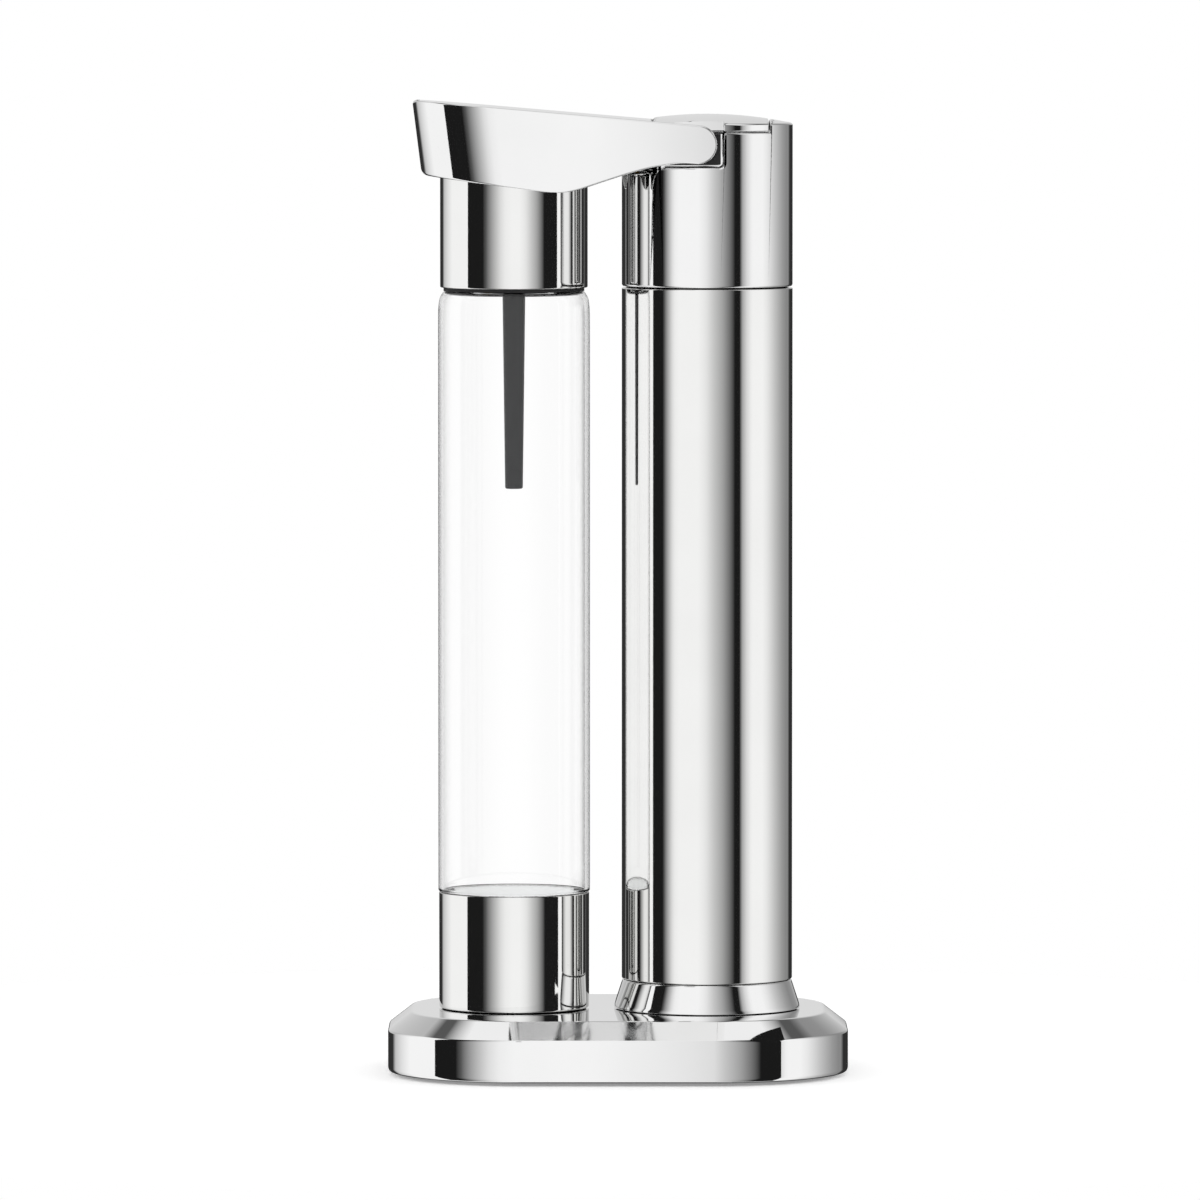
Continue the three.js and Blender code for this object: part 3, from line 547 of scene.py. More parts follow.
# %% [markdown]
# The floor is a round white table, which fades into the backdrop towards its edge. It takes the
# soft shadow under the base, and a faint glow of its own brings the paper up to the white of
# the backdrop. Mirrors look through it to the studio, or the column would show a white table
# instead of the black cards over most of its height.

# %% Floor
FLOOR_RADIUS = 0.5
FLOOR_FADE_START = 0.2
FLOOR_GLOW = 0.26
FLOOR_STEPS = 96


def make_floor():
    material, tree = new_material("white paper table")
    place = add_node(tree, "ShaderNodeTexCoord")
    reach = add_node(tree, "ShaderNodeVectorMath", {"operation": "LENGTH"}, in_0=(place, "Object"))
    fade = add_node(
        tree, "ShaderNodeMapRange", None, Value=(reach, 1), From_Min=FLOOR_FADE_START,
        From_Max=FLOOR_RADIUS,
    )
    path = add_node(tree, "ShaderNodeLightPath")
    unseen = add_node(
        tree, "ShaderNodeMath", {"operation": "MAXIMUM"}, in_0=(path, "Is Glossy Ray"),
        in_1=(fade, 0),
    )
    paper = add_node(tree, "ShaderNodeBsdfDiffuse", None, Color=linear("#ffffff"))
    lit = add_node(tree, "ShaderNodeEmission", None, Color=grey(1), Strength=FLOOR_GLOW)
    sheet = add_node(tree, "ShaderNodeAddShader", None, in_0=(paper, 0), in_1=(lit, 0))
    open_air = add_node(tree, "ShaderNodeBsdfTransparent")
    mixed = add_node(
        tree, "ShaderNodeMixShader", None, in_0=(unseen, 0), in_1=(sheet, 0), in_2=(open_air, 0),
    )
    add_node(tree, "ShaderNodeOutputMaterial", None, Surface=(mixed, 0))
    bm = bmesh.new()
    bmesh.ops.create_circle(bm, cap_ends=True, segments=FLOOR_STEPS, radius=FLOOR_RADIUS)
    floor = put_in_scene(bm, "floor", material)


make_floor()
bpy.context.scene.view_settings.view_transform = "Standard"

# %% [markdown]
# ## Turned pieces
# The tube, the rings, the cup, the sleeve, the bottle and the nozzle are all round. Each is an
# outline of a few corners that `spin` carries round its axis. Corners are rounded on the
# outline first, because a bright line along a rounded edge is how chrome shows its shape.

# %% Helpers for turned pieces
# A corner may use this much of each side it stands on
SIDE_SHARE = 0.49
MERGE = 0.001 * MM
ARC_STEPS = 4
FINE_ARC_STEPS = 10
TIGHT_ROUND = 0.2 * MM
SOFT_ROUND = 0.3 * MM
# Edges that turn by more than this stay sharp in the shading
SHARP_PLAIN = math.radians(50)
SHARP_TURNED = math.radians(30)
LARGE_FACE_WEIGHT = 100


def rounded(points, radii, steps=ARC_STEPS):
    """The outline with each corner replaced by an arc-like curve of its own radius."""
    out = []
    for i, (corner, radius) in enumerate(zip(points, radii)):
        here = Vector(corner)
        if radius == 0 or i in (0, len(points) - 1):
            out.append(here)
            continue
        before = Vector(points[i - 1]) - here
        after = Vector(points[i + 1]) - here
        start = here + before.normalized() * min(radius, before.length * SIDE_SHARE)
        end = here + after.normalized() * min(radius, after.length * SIDE_SHARE)
        for step in range(steps + 1):
            t = step / steps
            out.append(start * (1 - t) ** 2 + here * 2 * t * (1 - t) + end * t**2)
    return out


def finish_piece(bm, name, material, body, nodes, sharp_angle=SHARP_PLAIN):
    """Makes a smooth piece that rides on a body and stands in for the named nodes."""
    piece = put_in_scene(bm, name, material)
    for face in piece.data.polygons:
        face.use_smooth = True
    piece.data.set_sharp_from_angle(angle=sharp_angle)
    weighted = piece.modifiers.new("large faces stay true", "WEIGHTED_NORMAL")
    weighted.keep_sharp = True
    weighted.weight = LARGE_FACE_WEIGHT
    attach(piece, body)
    if nodes:
        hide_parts(*nodes)
    return piece


def spun(outline, axis_x, steps=ROUND_STEPS):
    """A bmesh turned from an outline of (radius, height) points, round a vertical axis."""
    bm = bmesh.new()
    corners = [bm.verts.new((max(r, 0), 0, z)) for r, z in outline]
    edges = [bm.edges.new(pair) for pair in zip(corners, corners[1:])]
    bmesh.ops.spin(
        bm, geom=corners + edges, cent=(0, 0, 0), axis=(0, 0, 1), dvec=(0, 0, 0),
        angle=2 * math.pi, steps=steps, use_merge=True, use_duplicate=False,
    )
    bmesh.ops.remove_doubles(bm, verts=bm.verts, dist=MERGE)
    bmesh.ops.dissolve_degenerate(bm, edges=bm.edges, dist=MERGE)
    bmesh.ops.recalc_face_normals(bm, faces=bm.faces)
    bmesh.ops.translate(bm, verts=bm.verts, vec=(axis_x, 0, 0))
    return bm


def closed_outline(points, radii):
    """A ring's outline: starts and ends at the middle of its first side, so all corners round."""
    start = (Vector(points[0]) + Vector(points[-1])) / 2
    return rounded([start, *points, start], [0, *radii, 0])


# %% [markdown]
# The column is a plain drawn tube between the flared ring on the base and the head. Both ends
# break their edge slightly, which draws the fine double line at each seam.

# %% Column tube and foot ring
TUBE_WALL = 1.6 * MM
TUBE_EDGE = 0.5 * MM
RING_EDGE = 0.9 * MM
RING_INSET = 0.4 * MM


def column_tube():
    low, high = low_z("column_tube"), high_z("column_tube")
    inner = COLUMN_RADIUS - TUBE_WALL
    outline = closed_outline(
        [(inner, low), (COLUMN_RADIUS, low), (COLUMN_RADIUS, high), (inner, high)],
        [0, TUBE_EDGE, TUBE_EDGE, 0],
    )
    finish_piece(
        spun(outline, COLUMN_X), "column_tube_fine", polished_steel, "stand",
        ["column_tube"], SHARP_TURNED,
    )


def foot_ring():
    low, high = low_z("column_foot_ring"), high_z("column_foot_ring")
    foot = half_width("column_foot_ring")
    top = COLUMN_RADIUS - RING_INSET
    inner = COLUMN_RADIUS - TUBE_WALL
    outline = closed_outline(
        [(inner, low), (foot, low), (foot, low + RING_EDGE), (top, high), (inner, high)],
        [0, TIGHT_ROUND, RING_EDGE, RING_EDGE, 0],
    )
    finish_piece(
        spun(outline, COLUMN_X), "foot_ring_fine", chrome_plate, "stand",
        ["column_foot_ring"], SHARP_TURNED,
    )


column_tube()
foot_ring()
print("column and foot ring made")

# %% [markdown]
# The bottle is a thick glass tube with a small round shoulder and a neck that hides in the
# cap. Its lower end stands in a polished cup. The glass has an inner and an outer wall, since
# the dark lines at its sides come from light bent between the two, and the two run alike
# through the shoulder, or the bent light would leave blotches there.

# %% Bottle
GLASS_WALL = 1.9 * MM
GLASS_FLOOR = 6 * MM
FLOOR_ROUND = 5 * MM
FOOT_ROUND = 3 * MM
NECK_ROUND = 0.6 * MM
EDGE_ROUND = 0.8 * MM
# Inside, the step at the cup's rim starts this far over the rim and ends this far under it
RIM_OVER = 0.6 * MM
RIM_UNDER = 1.6 * MM
# The wall in the slope of the shoulder, as a share of the full wall
SLOPE_SHARE = 0.6
SHARP_GLASS = math.radians(80)
SHOULDER_WALL = 1.2 * MM
SHOULDER_WIDTH = 2.3 * MM
SHOULDER_HEIGHT = 4 * MM
CUP_WALL = 1.5 * MM
# The black ring of painted shade between the shoulder and the cap, its play under the cap and over
# the glass
NECK_SHADE_RING = 1.5 * MM
RING_PLAY_TOP = 0.03 * MM
RING_PLAY_LOW = 0.06 * MM
NECK_RING_ROUND = 0.1 * MM


def glass_bottle():
    low, top = low_z("glass_bottle"), high_z("glass_bottle")
    rim = high_z("bottle_cup") + GAP
    shoulder = low_z("cap_sleeve") - NECK_SHADE_RING
    foot = half_width("bottle_cup") - CUP_WALL - GAP
    neck = half_width("cap_seal")
    wall = GLASS_WALL
    thin = SHOULDER_WALL
    floor = low + GLASS_FLOOR
    slope = GLASS_RADIUS - SHOULDER_WIDTH
    bend = shoulder - SHOULDER_HEIGHT
    edge = EDGE_ROUND
    # Each corner with its rounding: up the outside, over the lip and down the inside
    corners = [
        (0, low, 0), (foot, low, FOOT_ROUND), (foot, rim, TIGHT_ROUND), (GLASS_RADIUS, rim, edge),
        (GLASS_RADIUS, bend, 2 * SHOULDER_HEIGHT), (slope, shoulder, SHOULDER_WIDTH / 2),
        (neck, shoulder + GAP, NECK_ROUND), (neck, top, edge), (neck - wall, top, edge),
        (neck - wall, shoulder - thin, edge),
        (slope - SLOPE_SHARE * wall, shoulder - thin, SHOULDER_WIDTH / 2),
        (GLASS_RADIUS - wall, bend - thin / 2, 2 * SHOULDER_HEIGHT),
        (GLASS_RADIUS - wall, rim + RIM_OVER, edge), (foot - wall, rim - RIM_UNDER, edge),
        (foot - wall, floor, FLOOR_ROUND), (0, floor, 0),
    ]
    points = [(across, height) for across, height, _ in corners]
    outline = rounded(points, [radius for *_, radius in corners], FINE_ARC_STEPS)
    finish_piece(
        spun(outline, BOTTLE_X), "bottle_glass_fine", clear_glass, "bottle",
        ["glass_bottle"], SHARP_GLASS,
    )


def neck_shade_ring():
    """A black ring under the cap: painted shade for the shadowed gap between the shoulder and the
    cap, which shows as one dark line round the neck.
    """
    high = low_z("cap_sleeve") - RING_PLAY_TOP
    low = low_z("cap_sleeve") - NECK_SHADE_RING + RING_PLAY_LOW
    outer = GLASS_RADIUS - SHOULDER_WIDTH
    inner = half_width("cap_seal") + GAP
    outline = closed_outline(
        [(inner, low), (outer, low), (outer, high), (inner, high)],
        [0, NECK_RING_ROUND, NECK_RING_ROUND, 0],
    )
    # The black rubber here is painted shade, put where the gap under the cap lies in shadow
    finish_piece(spun(outline, BOTTLE_X), "neck_ring_fine", rubber, "cap", [])


glass_bottle()
neck_shade_ring()
print("bottle made")

# %% [markdown]
# The cup that holds the glass is drawn from steel sheet and polished, with a pale sleeve as
# lining. The bottle stands on a thin mat, let in flush, which ends just under the cup so that
# no dark rim shows. Four rubber feet stand under the base.

# %% Cup, mat and feet
CUP_FLOOR = 2 * MM
CUP_FOOT_ROUND = 0.9 * MM
CUP_RIM_ROUND = 0.45 * MM
CUP_INSIDE_ROUND = 1 * MM
SLEEVE_LOW = 0.4 * MM
SLEEVE_PLAY = 0.04 * MM
SLEEVE_WALL = 0.2 * MM
SLEEVE_ROUND = 0.05 * MM
MAT_INSET = 2.1 * MM
MAT_STEPS = 96
FOOT_STEPS = 48
FOOT_EDGE_ROUND = 0.5 * MM


def bottle_cup():
    low, high = low_z("bottle_cup"), high_z("bottle_cup")
    radius = half_width("bottle_cup")
    inner = radius - CUP_WALL
    outline = rounded(
        [
            (0, low), (radius, low), (radius, high), (inner, high), (inner, low + CUP_FLOOR),
            (0, low + CUP_FLOOR),
        ],
        [0, CUP_FOOT_ROUND, CUP_RIM_ROUND, CUP_RIM_ROUND, CUP_INSIDE_ROUND, 0],
    )
    finish_piece(
        spun(outline, BOTTLE_X), "cup_fine", polished_steel, "bottle",
        ["bottle_cup"], SHARP_TURNED,
    )


def cup_sleeve():
    """A thin pale sleeve that keeps the glass from rattling in the cup."""
    low, high = low_z("glass_bottle"), high_z("bottle_cup") - SLEEVE_LOW
    outer = half_width("bottle_cup") - CUP_WALL - SLEEVE_PLAY
    inner = outer - SLEEVE_WALL
    outline = closed_outline(
        [(inner, low), (outer, low), (outer, high), (inner, high)],
        [0, 0, SLEEVE_ROUND, SLEEVE_ROUND],
    )
    finish_piece(spun(outline, BOTTLE_X), "cup_sleeve_fine", silicone, "bottle", [])


def puck(node, radius, rounds, steps):
    """A round slab as high as its node, with its lower and upper edge rounded."""
    low, high = low_z(node), high_z(node)
    corners = [(0, low), (radius, low), (radius, high), (0, high)]
    return spun(rounded(corners, [0, *rounds, 0]), middle(node)[0], steps)


def bottle_mat():
    radius = half_width("bottle_mat") - MAT_INSET
    bm = puck("bottle_mat", radius, (TIGHT_ROUND, SOFT_ROUND), MAT_STEPS)
    finish_piece(bm, "bottle_mat_fine", rubber, "stand", ["bottle_mat"])


def feet():
    for i in range(1, 5):
        node = f"foot_{i}"
        bm = puck(node, half_width(node), (FOOT_EDGE_ROUND, TIGHT_ROUND), FOOT_STEPS)
        bmesh.ops.translate(bm, verts=bm.verts, vec=(0, middle(node)[1], 0))
        finish_piece(bm, f"foot_fine_{i}", rubber, "stand", [node])


bottle_cup()
cup_sleeve()
bottle_mat()
feet()
print("cup, mat and feet made")

# %% [markdown]
# The cap is a polished sleeve round the neck. The nozzle under it is the dark tapered tube
# that shows through the glass: it is 10.4 mm wide at the cap and 7.5 mm at its tip.

# %% Cap sleeve and nozzle
CAP_LIP = 0.2 * MM
CAP_FOOT_ROUND = 0.6 * MM
CAP_TOP_ROUND = 1.6 * MM
NOZZLE_TOP = 5.2 * MM
NOZZLE_TIP = 3.75 * MM
TIP_ROUND = 0.9 * MM
NOZZLE_BORE = 1.3 * MM
NOZZLE_SOCKET = 4 * MM
NOZZLE_STEPS = 64


def cap_sleeve():
    low, high = low_z("cap_sleeve"), high_z("cap_sleeve")
    radius = half_width("cap_sleeve")
    inner = radius - CUP_WALL
    lip = radius - 3 * CUP_WALL
    throat = half_width("cap_seal") + GAP
    outline = closed_outline(
        [
            (throat, low), (radius, low), (radius, high), (lip, high), (lip, high - CUP_WALL),
            (inner, high - CUP_WALL), (inner, low + CAP_LIP), (throat, low + CAP_LIP),
        ],
        [0, CAP_FOOT_ROUND, CAP_TOP_ROUND, SOFT_ROUND, 0, 0, 0, 0],
    )
    finish_piece(
        spun(outline, BOTTLE_X), "cap_sleeve_fine", polished_steel, "cap",
        ["cap_sleeve"], SHARP_TURNED,
    )


def nozzle():
    low, high = low_z("nozzle"), high_z("nozzle")
    flange = half_width("nozzle")
    shaft_top = low_z("burst_plug") - GAP + NOZZLE_SOCKET
    outline = closed_outline(
        [
            (NOZZLE_BORE, low), (NOZZLE_TIP, low), (NOZZLE_TOP, shaft_top),
            (NOZZLE_TOP, shaft_top + GAP), (flange, shaft_top + GAP), (flange, high),
            (NOZZLE_BORE, high),
        ],
        [SOFT_ROUND, TIP_ROUND, 0, 0, TIGHT_ROUND, SOFT_ROUND, 0],
    )
    finish_piece(
        spun(outline, BOTTLE_X, NOZZLE_STEPS), "nozzle_fine", nozzle_plastic, "cap",
        ["nozzle"], SHARP_TURNED,
    )


cap_sleeve()
nozzle()
print("cap sleeve and nozzle made")

# %% [markdown]
# ## Cast pieces
# The base, the head and the lever are castings that were ground, buffed and plated. Each is
# modelled as a plain form first. Boolean cuts then make its slots and hollows, and a bevel
# goes over every hard edge last, as the buffing wheel does.

# %% Helpers for cast pieces
CAST_MERGE = 0.02 * MM
SHARP_CAST = math.radians(40)
# The buffing wheel rounds edges that turn by more than this
BUFF_ANGLE = math.radians(28)
BUFF_STEPS = 3
BROAD_BUFF_STEPS = 4
# Steps round a small bore, a column's width, the lever's sweep and a notch's corner
BORE_STEPS = 48
CUTTER_STEPS = 96
SWEEP_STEPS = 160
NOTCH_STEPS = 8


def carve(target, cutter, operation="DIFFERENCE"):
    """Applies one boolean to the target's mesh and throws the cutter away."""
    modifier = target.modifiers.new("carve", "BOOLEAN")
    modifier.operation = operation
    modifier.solver = "EXACT"
    modifier.object = cutter
    bake_modifiers(target)
    bpy.data.objects.remove(cutter, do_unlink=True)


def bake_modifiers(target):
    graph = bpy.context.evaluated_depsgraph_get()
    fresh = bpy.data.meshes.new_from_object(target.evaluated_get(graph))
    target.modifiers.clear()
    target.data = fresh


def buff_edges(target, width, segments=BUFF_STEPS, limit=BUFF_ANGLE):
    """Rounds every hard edge, after points that a cut left almost together are merged."""
    bm = bmesh.new()
    bm.from_mesh(target.data)
    bmesh.ops.remove_doubles(bm, verts=bm.verts, dist=CAST_MERGE)
    bmesh.ops.dissolve_degenerate(bm, edges=bm.edges, dist=CAST_MERGE)
    bm.to_mesh(target.data)
    bm.free()
    modifier = target.modifiers.new("buffed", "BEVEL")
    modifier.width = width
    modifier.segments = segments
    modifier.limit_method = "ANGLE"
    modifier.angle_limit = limit
    modifier.harden_normals = False
    modifier.use_clamp_overlap = False
    bake_modifiers(target)


def finish_cast(target, name, body, nodes):
    bm = bmesh.new()
    bm.from_mesh(target.data)
    bpy.data.objects.remove(target, do_unlink=True)
    return finish_piece(bm, name, chrome_plate, body, nodes, SHARP_CAST)


def block(low, high):
    """A bmesh box between two opposite corners."""
    bm = bmesh.new()
    bmesh.ops.create_cube(bm, size=1)
    bmesh.ops.scale(bm, verts=bm.verts, vec=[b - a for a, b in zip(low, high)])
    bmesh.ops.translate(bm, verts=bm.verts, vec=[(a + b) / 2 for a, b in zip(low, high)])
    return bm


def round_edges(bm, edges, radius, steps):
    bmesh.ops.bevel(
        bm, geom=edges, offset=radius, offset_type="OFFSET", affect="EDGES", segments=steps,
        profile=0.5, material=-1,
    )


def box_cutter(x0, x1, y0, y1, z0, z1, corner=0.0):
    """A box; with a corner radius, its lower edge on the +X side is rounded along Y."""
    bm = block((x0, y0, z0), (x1, y1, z1))
    if corner:
        ends = {v for v in bm.verts if v.co.x > (x0 + x1) / 2 and v.co.z < (z0 + z1) / 2}
        round_edges(bm, [e for e in bm.edges if ends.issuperset(e.verts)], corner, NOTCH_STEPS)
    return put_in_scene(bm, "cutter")


def cylinder_cutter(radius, length, centre, along_y=False, segments=CUTTER_STEPS):
    bm = bmesh.new()
    bmesh.ops.create_cone(
        bm, cap_ends=True, segments=segments, radius1=radius, radius2=radius, depth=length,
    )
    if along_y:
        stand_up(bm)
    bmesh.ops.translate(bm, verts=bm.verts, vec=centre)
    return put_in_scene(bm, "cutter")


# %% [markdown]
# The base is a rounded rectangle with a broad slope running up to a flat top. It is a box
# whose four upright edges are bevelled into big corners. Insetting the top face and lifting
# it gives the slope, and insetting the bottom face gives the heel and the hollow underneath.

# %% Base
BASE_CORNER = 57 * MM
BASE_RIM_TOP = 19 * MM
SLOPE_RUN = 10 * MM
HEEL_RISE = 1.2 * MM
HEEL_RUN = 0.7 * MM
BASE_WALL = 3.4 * MM
BASE_EDGE = 0.7 * MM
BASE_BUFF_ANGLE = math.radians(24)
CORNER_STEPS = 36
SEAT_GAP = 0.3 * MM
# The hole for the column's inside: how far within the tube, and its full depth
WELL_INSET = 5 * MM
WELL_DEPTH = 60 * MM
# A face is square to an axis when this much of its normal lies along it
SQUARE_ON = 0.99


def lift_region(bm, face, inset, rise):
    """Insets one face by a distance and moves the inner face up by another."""
    if inset:
        bmesh.ops.inset_region(bm, faces=[face], thickness=inset, depth=0, use_even_offset=True)
    else:
        made = bmesh.ops.extrude_face_region(bm, geom=[face])
        if face.is_valid:
            bm.faces.remove(face)
        face = next(item for item in made["geom"] if isinstance(item, bmesh.types.BMFace))
    bmesh.ops.translate(bm, verts=face.verts, vec=(0, 0, rise))
    return face


def flat_face(bm, side):
    """The largest level face on the upper side, 1, or the lower side, -1."""
    facing = [f for f in bm.faces if f.normal.z * side > SQUARE_ON]
    return max(facing, key=lambda f: f.calc_area())


def base_body():
    low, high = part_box("base_shell")
    top = high_z("bottle_mat")
    bm = block((*low[:2], low[2] + HEEL_RISE), (*high[:2], BASE_RIM_TOP))
    upright = [e for e in bm.edges if abs(e.verts[0].co.z - e.verts[1].co.z) > MM]
    round_edges(bm, upright, BASE_CORNER, CORNER_STEPS)
    bm.normal_update()
    lift_region(bm, flat_face(bm, 1), SLOPE_RUN, top - BASE_RIM_TOP)
    under = lift_region(bm, flat_face(bm, -1), HEEL_RUN, -HEEL_RISE)
    under = lift_region(bm, under, BASE_WALL, 0)
    under = lift_region(bm, under, 0, BASE_RIM_TOP - BASE_WALL - low[2])
    lift_region(bm, under, SLOPE_RUN - HEEL_RUN, top - BASE_RIM_TOP)
    bmesh.ops.recalc_face_normals(bm, faces=bm.faces)
    body = put_in_scene(bm, "base")
    seat = half_width("bottle_mat") - MAT_INSET + SEAT_GAP
    depth = top - low_z("bottle_mat") + SEAT_GAP
    carve(body, cylinder_cutter(seat, 2 * depth, (BOTTLE_X, 0, top), segments=ROUND_STEPS))
    well = COLUMN_RADIUS - WELL_INSET
    carve(body, cylinder_cutter(well, WELL_DEPTH, (COLUMN_X, 0, top), segments=ROUND_STEPS))
    buff_edges(body, BASE_EDGE, BROAD_BUFF_STEPS, BASE_BUFF_ANGLE)
    finish_cast(body, "base_body", "stand", ["base_shell"])


base_body()
print("base made")

# %% [markdown]
# The head is a short tube with a low dome. Its upper half is cut back on both sides, where the
# cheeks of the lever swing, and its front follows the arc that the lever sweeps. The front
# part of the dome is a separate snap-on lid, and its seam is the dark line near the top.

# %% Head and lid
HEAD_EDGE = 1.1 * MM
LID_EDGE = 0.35 * MM
HEAD_HEIGHT = 68 * MM
NOTCH_HEIGHT = 50.5 * MM
SHOULDER = 2.4 * MM
SHOULDER_STEPS = 8
CROWN_STEPS = 12
HEAD_WALL = 2.2 * MM
HEAD_BORE_LENGTH = 120 * MM
# How far the cutters reach past what they cut
PAST = 4 * MM
LID_CUT = 20 * MM
# What counts as the round side: its tilt and its depth, and the depth of a wall painted black as
# shade
SIDE_TILT = 0.02
SIDE_DEPTH = 0.03 * MM
SHADE_WALL_DEPTH = 0.1 * MM
SWEEP_RADIUS = 21 * MM
NOTCH_CORNER = 2.2 * MM
LID_SEAM = 0.55 * MM
CHEEK_SLOT_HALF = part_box("pivot_bush_rear")[1][1]
NOTCH_REACH = 6.7 * MM
NOTCH_FLOOR = low_z("head_shell") + NOTCH_HEIGHT


def head_outline():
    """Half of the head's section, from the middle of its foot out, up and over the dome."""
    low, dome = low_z("head_shell"), high_z("head_lid")
    high = low + HEAD_HEIGHT
    edge = COLUMN_RADIUS - SHOULDER
    points = [(0, low), (COLUMN_RADIUS, low)]
    for step in range(SHOULDER_STEPS + 1):
        turn = step / SHOULDER_STEPS * math.pi / 2
        points.append((edge + SHOULDER * math.cos(turn), high + SHOULDER / 2 * math.sin(turn)))
    start = high + SHOULDER / 2
    for step in range(1, CROWN_STEPS + 1):
        left = 1 - step / CROWN_STEPS
        points.append((edge * left, start + (dome - start) * (1 - left**2)))
    return [Vector(p) for p in points]


def notch(target):
    """Cuts back both sides of the head, and its front along the arc that the lever sweeps."""
    far = COLUMN_RADIUS + PAST
    left, right = COLUMN_X - far, COLUMN_X + NOTCH_REACH
    top = high_z("head_lid") + PAST
    for y0, y1 in ((CHEEK_SLOT_HALF, far), (-far, -CHEEK_SLOT_HALF)):
        carve(target, box_cutter(left, right, y0, y1, NOTCH_FLOOR, top, NOTCH_CORNER))
    front = box_cutter(left - MM, PIVOT_X, -far - MM, far + MM, NOTCH_FLOOR, top + MM)
    carve(front, cylinder_cutter(SWEEP_RADIUS, 4 * far, (PIVOT_X, 0, PIVOT_Z), True, SWEEP_STEPS))
    carve(target, front)


def head_and_lid():
    shell = put_in_scene(spun(head_outline(), COLUMN_X), "head")
    notch(shell)
    seam = low_z("head_lid")
    lid_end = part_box("head_lid")[1][0]
    far = COLUMN_RADIUS + PAST
    left, top = COLUMN_X - far, seam + LID_CUT
    lid = put_in_scene(spun(head_outline(), COLUMN_X), "lid")
    notch(lid)
    carve(lid, box_cutter(left, lid_end, -far, far, seam, top), "INTERSECT")
    carve(shell, box_cutter(left, lid_end + LID_SEAM, -far, far, seam - LID_SEAM, top))
    centre = (COLUMN_X, 0, NOTCH_FLOOR - HEAD_WALL - HEAD_BORE_LENGTH / 2)
    carve(shell, cylinder_cutter(COLUMN_RADIUS - HEAD_WALL, HEAD_BORE_LENGTH, centre))
    bore = high_z("pivot_bush_rear") - PIVOT_Z + GAP
    carve(shell, cylinder_cutter(bore, 4 * far, (PIVOT_X, 0, PIVOT_Z), True, BORE_STEPS))
    buff_edges(shell, HEAD_EDGE, BROAD_BUFF_STEPS)
    buff_edges(lid, LID_EDGE)
    shell = finish_cast(shell, "head_shell_fine", "stand", ["head_shell"])
    paint_notch_shade(shell)
    lid = finish_cast(lid, "head_lid_fine", "stand", ["head_lid"])
    true_round(shell)
    true_round(lid)


def true_round(piece):
    """Points the round side's normals straight out, so that no cut disturbs the mirror."""
    bake_modifiers(piece)
    mesh = piece.data
    normals = [Vector(n.vector) for n in mesh.corner_normals]
    for face in mesh.polygons:
        points = [mesh.vertices[v].co for v in face.vertices]
        reach = min(math.hypot(p.x - COLUMN_X, p.y) for p in points)
        if abs(face.normal.z) > SIDE_TILT or reach < COLUMN_RADIUS - SIDE_DEPTH:
            continue
        for loop, point in zip(face.loop_indices, points):
            normals[loop] = Vector((point.x - COLUMN_X, point.y, 0)).normalized()
    mesh.normals_split_custom_set(normals)


def paint_notch_shade(piece):
    """The two flat walls that the cheeks of the lever run beside are painted black: painted shade
    for the dark slots beside the cheeks.
    """
    piece.data.materials.append(painted_shade_black)
    for face in piece.data.polygons:
        off = abs(abs(face.center.y) - CHEEK_SLOT_HALF)
        if abs(face.normal.y) > SQUARE_ON and off < SHADE_WALL_DEPTH:
            face.material_index = 1


head_and_lid()
print("head and lid made")

# %% [markdown]
# The lever is the showpiece: a deep chrome bar with flat sides, a round nose that leans
# forwards, a belly over the cap and two flat cheeks with round ends at the pivot. Its side
# view, pulled across its width, is intersected with its plan, so both outlines are exact.

# %% Lever
LEVER_HALF = half_width("lever_shell")
LEVER_WALL = 2.2 * MM
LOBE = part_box("lever_shell")[1][0] - PIVOT_X
NOSE_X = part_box("lever_shell")[0][0]
NOSE_TOP = PIVOT_Z + 18.5 * MM
NOSE_HEIGHT = 31.5 * MM
NOSE_LEAN = 4 * MM
TOP_START = PIVOT_X - 20 * MM
# Corners of the side view, as (x, z)
BELLY = (PIVOT_X - 56 * MM, PIVOT_Z - 20.9 * MM)
NECK = (PIVOT_X - 22.4 * MM, PIVOT_Z - 9.9 * MM)
LOBE_FRONT = (PIVOT_X - LOBE * 0.9, PIVOT_Z - LOBE * 0.93)
# Roundings of the nose's top and foot, the belly, the neck and the lobe's front
LEVER_ROUNDS = (2.4 * MM, 3.2 * MM, 9 * MM, 12 * MM, 4 * MM)
LOBE_STEPS = 40
NOSE_STEPS = 72
LEVER_EDGE = 0.9 * MM
CHEEK_PLAY = 0.4 * MM
SLOT_REAR = PIVOT_X - SWEEP_RADIUS - CHEEK_PLAY
# How far cutters reach past the nose, the side view and the lever's width
HOLLOW_PAST = 9 * MM
PLAN_PAST = 5 * MM
SIDE_PAST = 2 * MM


def top_height(x):
    slope = (NOSE_TOP - PIVOT_Z - LOBE) / (PIVOT_X - NOSE_X)
    return PIVOT_Z + LOBE + (PIVOT_X - x) * slope


def lever_outline():
    """Side view of the lever as (x, z) points, from the top of the nose round to the pivot."""
    foot = (NOSE_X + NOSE_LEAN, NOSE_TOP - NOSE_HEIGHT)
    corners = [
        (TOP_START, top_height(TOP_START)), (NOSE_X, NOSE_TOP), foot, BELLY, NECK, LOBE_FRONT,
        (PIVOT_X, PIVOT_Z - LOBE),
    ]
    points = rounded(corners, [0, *LEVER_ROUNDS, 0], FINE_ARC_STEPS)
    for step in range(1, LOBE_STEPS + 1):
        angle = -math.pi / 2 + math.pi * step / LOBE_STEPS
        x, z = PIVOT_X + LOBE * math.cos(angle), PIVOT_Z + LOBE * math.sin(angle)
        points.append(Vector((x, z)))
    return points


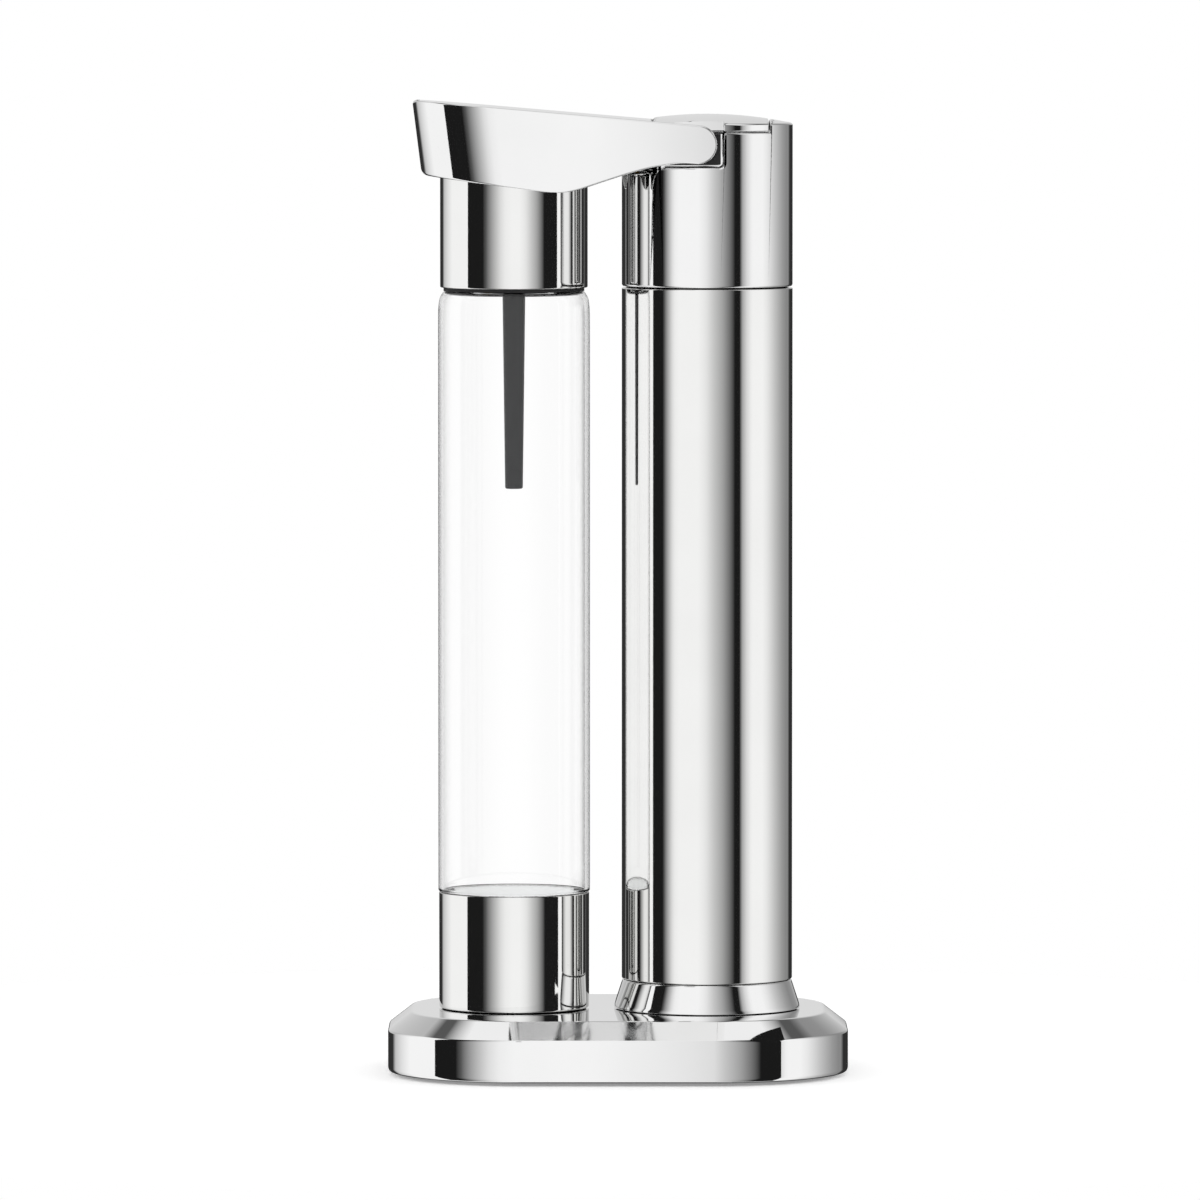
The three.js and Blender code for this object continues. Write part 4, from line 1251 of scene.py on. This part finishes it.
def pulled(points, direction):
    """A bmesh: the flat outline made a face, extruded along one direction."""
    bm = bmesh.new()
    face = bm.faces.new([bm.verts.new(p) for p in points])
    made = bmesh.ops.extrude_face_region(bm, geom=[face])
    moved = [item for item in made["geom"] if isinstance(item, bmesh.types.BMVert)]
    bmesh.ops.translate(bm, verts=moved, vec=direction)
    bmesh.ops.recalc_face_normals(bm, faces=bm.faces)
    return bm


def side_solid(points, half):
    """A side view, pulled across the width."""
    return put_in_scene(pulled([(x, -half, z) for x, z in points], (0, 2 * half, 0)), "side")


def plan_solid(inset):
    """The plan with its round nose, pulled upwards, and the nose then leant forwards."""
    half = LEVER_HALF - inset
    centre = NOSE_X + LEVER_HALF
    outline = []
    for step in range(NOSE_STEPS + 1):
        angle = math.pi * step / NOSE_STEPS
        outline.append((centre - half * math.sin(angle), half * math.cos(angle)))
    outline += [(PIVOT_X + 2 * LOBE, -half), (PIVOT_X + 2 * LOBE, half)]
    low = BELLY[1] - PLAN_PAST - inset
    high = NOSE_TOP + PLAN_PAST
    lean = NOSE_LEAN / NOSE_HEIGHT
    bm = pulled([(x, y, low) for x, y in outline], (0, 0, high - low))
    for vert in bm.verts:
        if vert.co.x < centre + MM:
            vert.co.x += (NOSE_TOP - vert.co.z) * lean
    return put_in_scene(bm, "plan")


def lever_shell():
    body = side_solid(lever_outline(), LEVER_HALF + SIDE_PAST)
    carve(body, plan_solid(0), "INTERSECT")
    root = SLOT_REAR - LEVER_WALL
    front = NOSE_X - HOLLOW_PAST
    low = BELLY[1] - SIDE_PAST
    under = [
        (front, low), (root, low), (root, top_height(root) - LEVER_WALL),
        (front, top_height(front) - LEVER_WALL),
    ]
    cavity = side_solid(under, LEVER_HALF)
    carve(cavity, plan_solid(LEVER_WALL), "INTERSECT")
    carve(body, cavity)
    inner = CHEEK_SLOT_HALF + CHEEK_PLAY
    slot = [
        (root - MM, low - MM), (PIVOT_X, low - MM), (PIVOT_X, top_height(SLOT_REAR) - LEVER_WALL),
        (root - MM, top_height(root) - LEVER_WALL),
    ]
    carve(body, side_solid(slot, inner))
    far = PIVOT_X + 3 * LOBE
    carve(body, box_cutter(PIVOT_X - LOBE, far, -inner, inner, low, NOSE_TOP + MM))
    sweep = SWEEP_RADIUS + CHEEK_PLAY
    carve(body, cylinder_cutter(sweep, 2 * inner, (PIVOT_X, 0, PIVOT_Z), True, SWEEP_STEPS))
    buff_edges(body, LEVER_EDGE, BROAD_BUFF_STEPS)
    finish_cast(body, "lever_fine", "lever", ["lever_shell"])


lever_shell()
print("lever made")

# %% [markdown]
# ## Inner parts
# What hides inside keeps its own solid from the frame and takes the finish of its slot: the
# valve gear, the gas cylinder, the pipe in the lever, the cap's core and the screws.

# %% Finish the carried-over nodes
FINISHES = {
    "chrome_plate": chrome_plate, "polished_steel": polished_steel, "clear_glass": clear_glass,
    "black_plastic": black_plastic, "nozzle_plastic": nozzle_plastic, "rubber": rubber,
    "silicone": silicone, "brass": turned_brass, "steel": turned_steel,
    "cylinder_paint": powder_coat,
}
for entry in frame["record"]["subparts"]:
    thing = frame["nodes"].get(entry["node"])
    if thing is None:
        continue
    thing.data.materials.clear()
    thing.data.materials.append(FINISHES[entry["material_slot"]])
print("finished nodes:", len(frame["nodes"]))
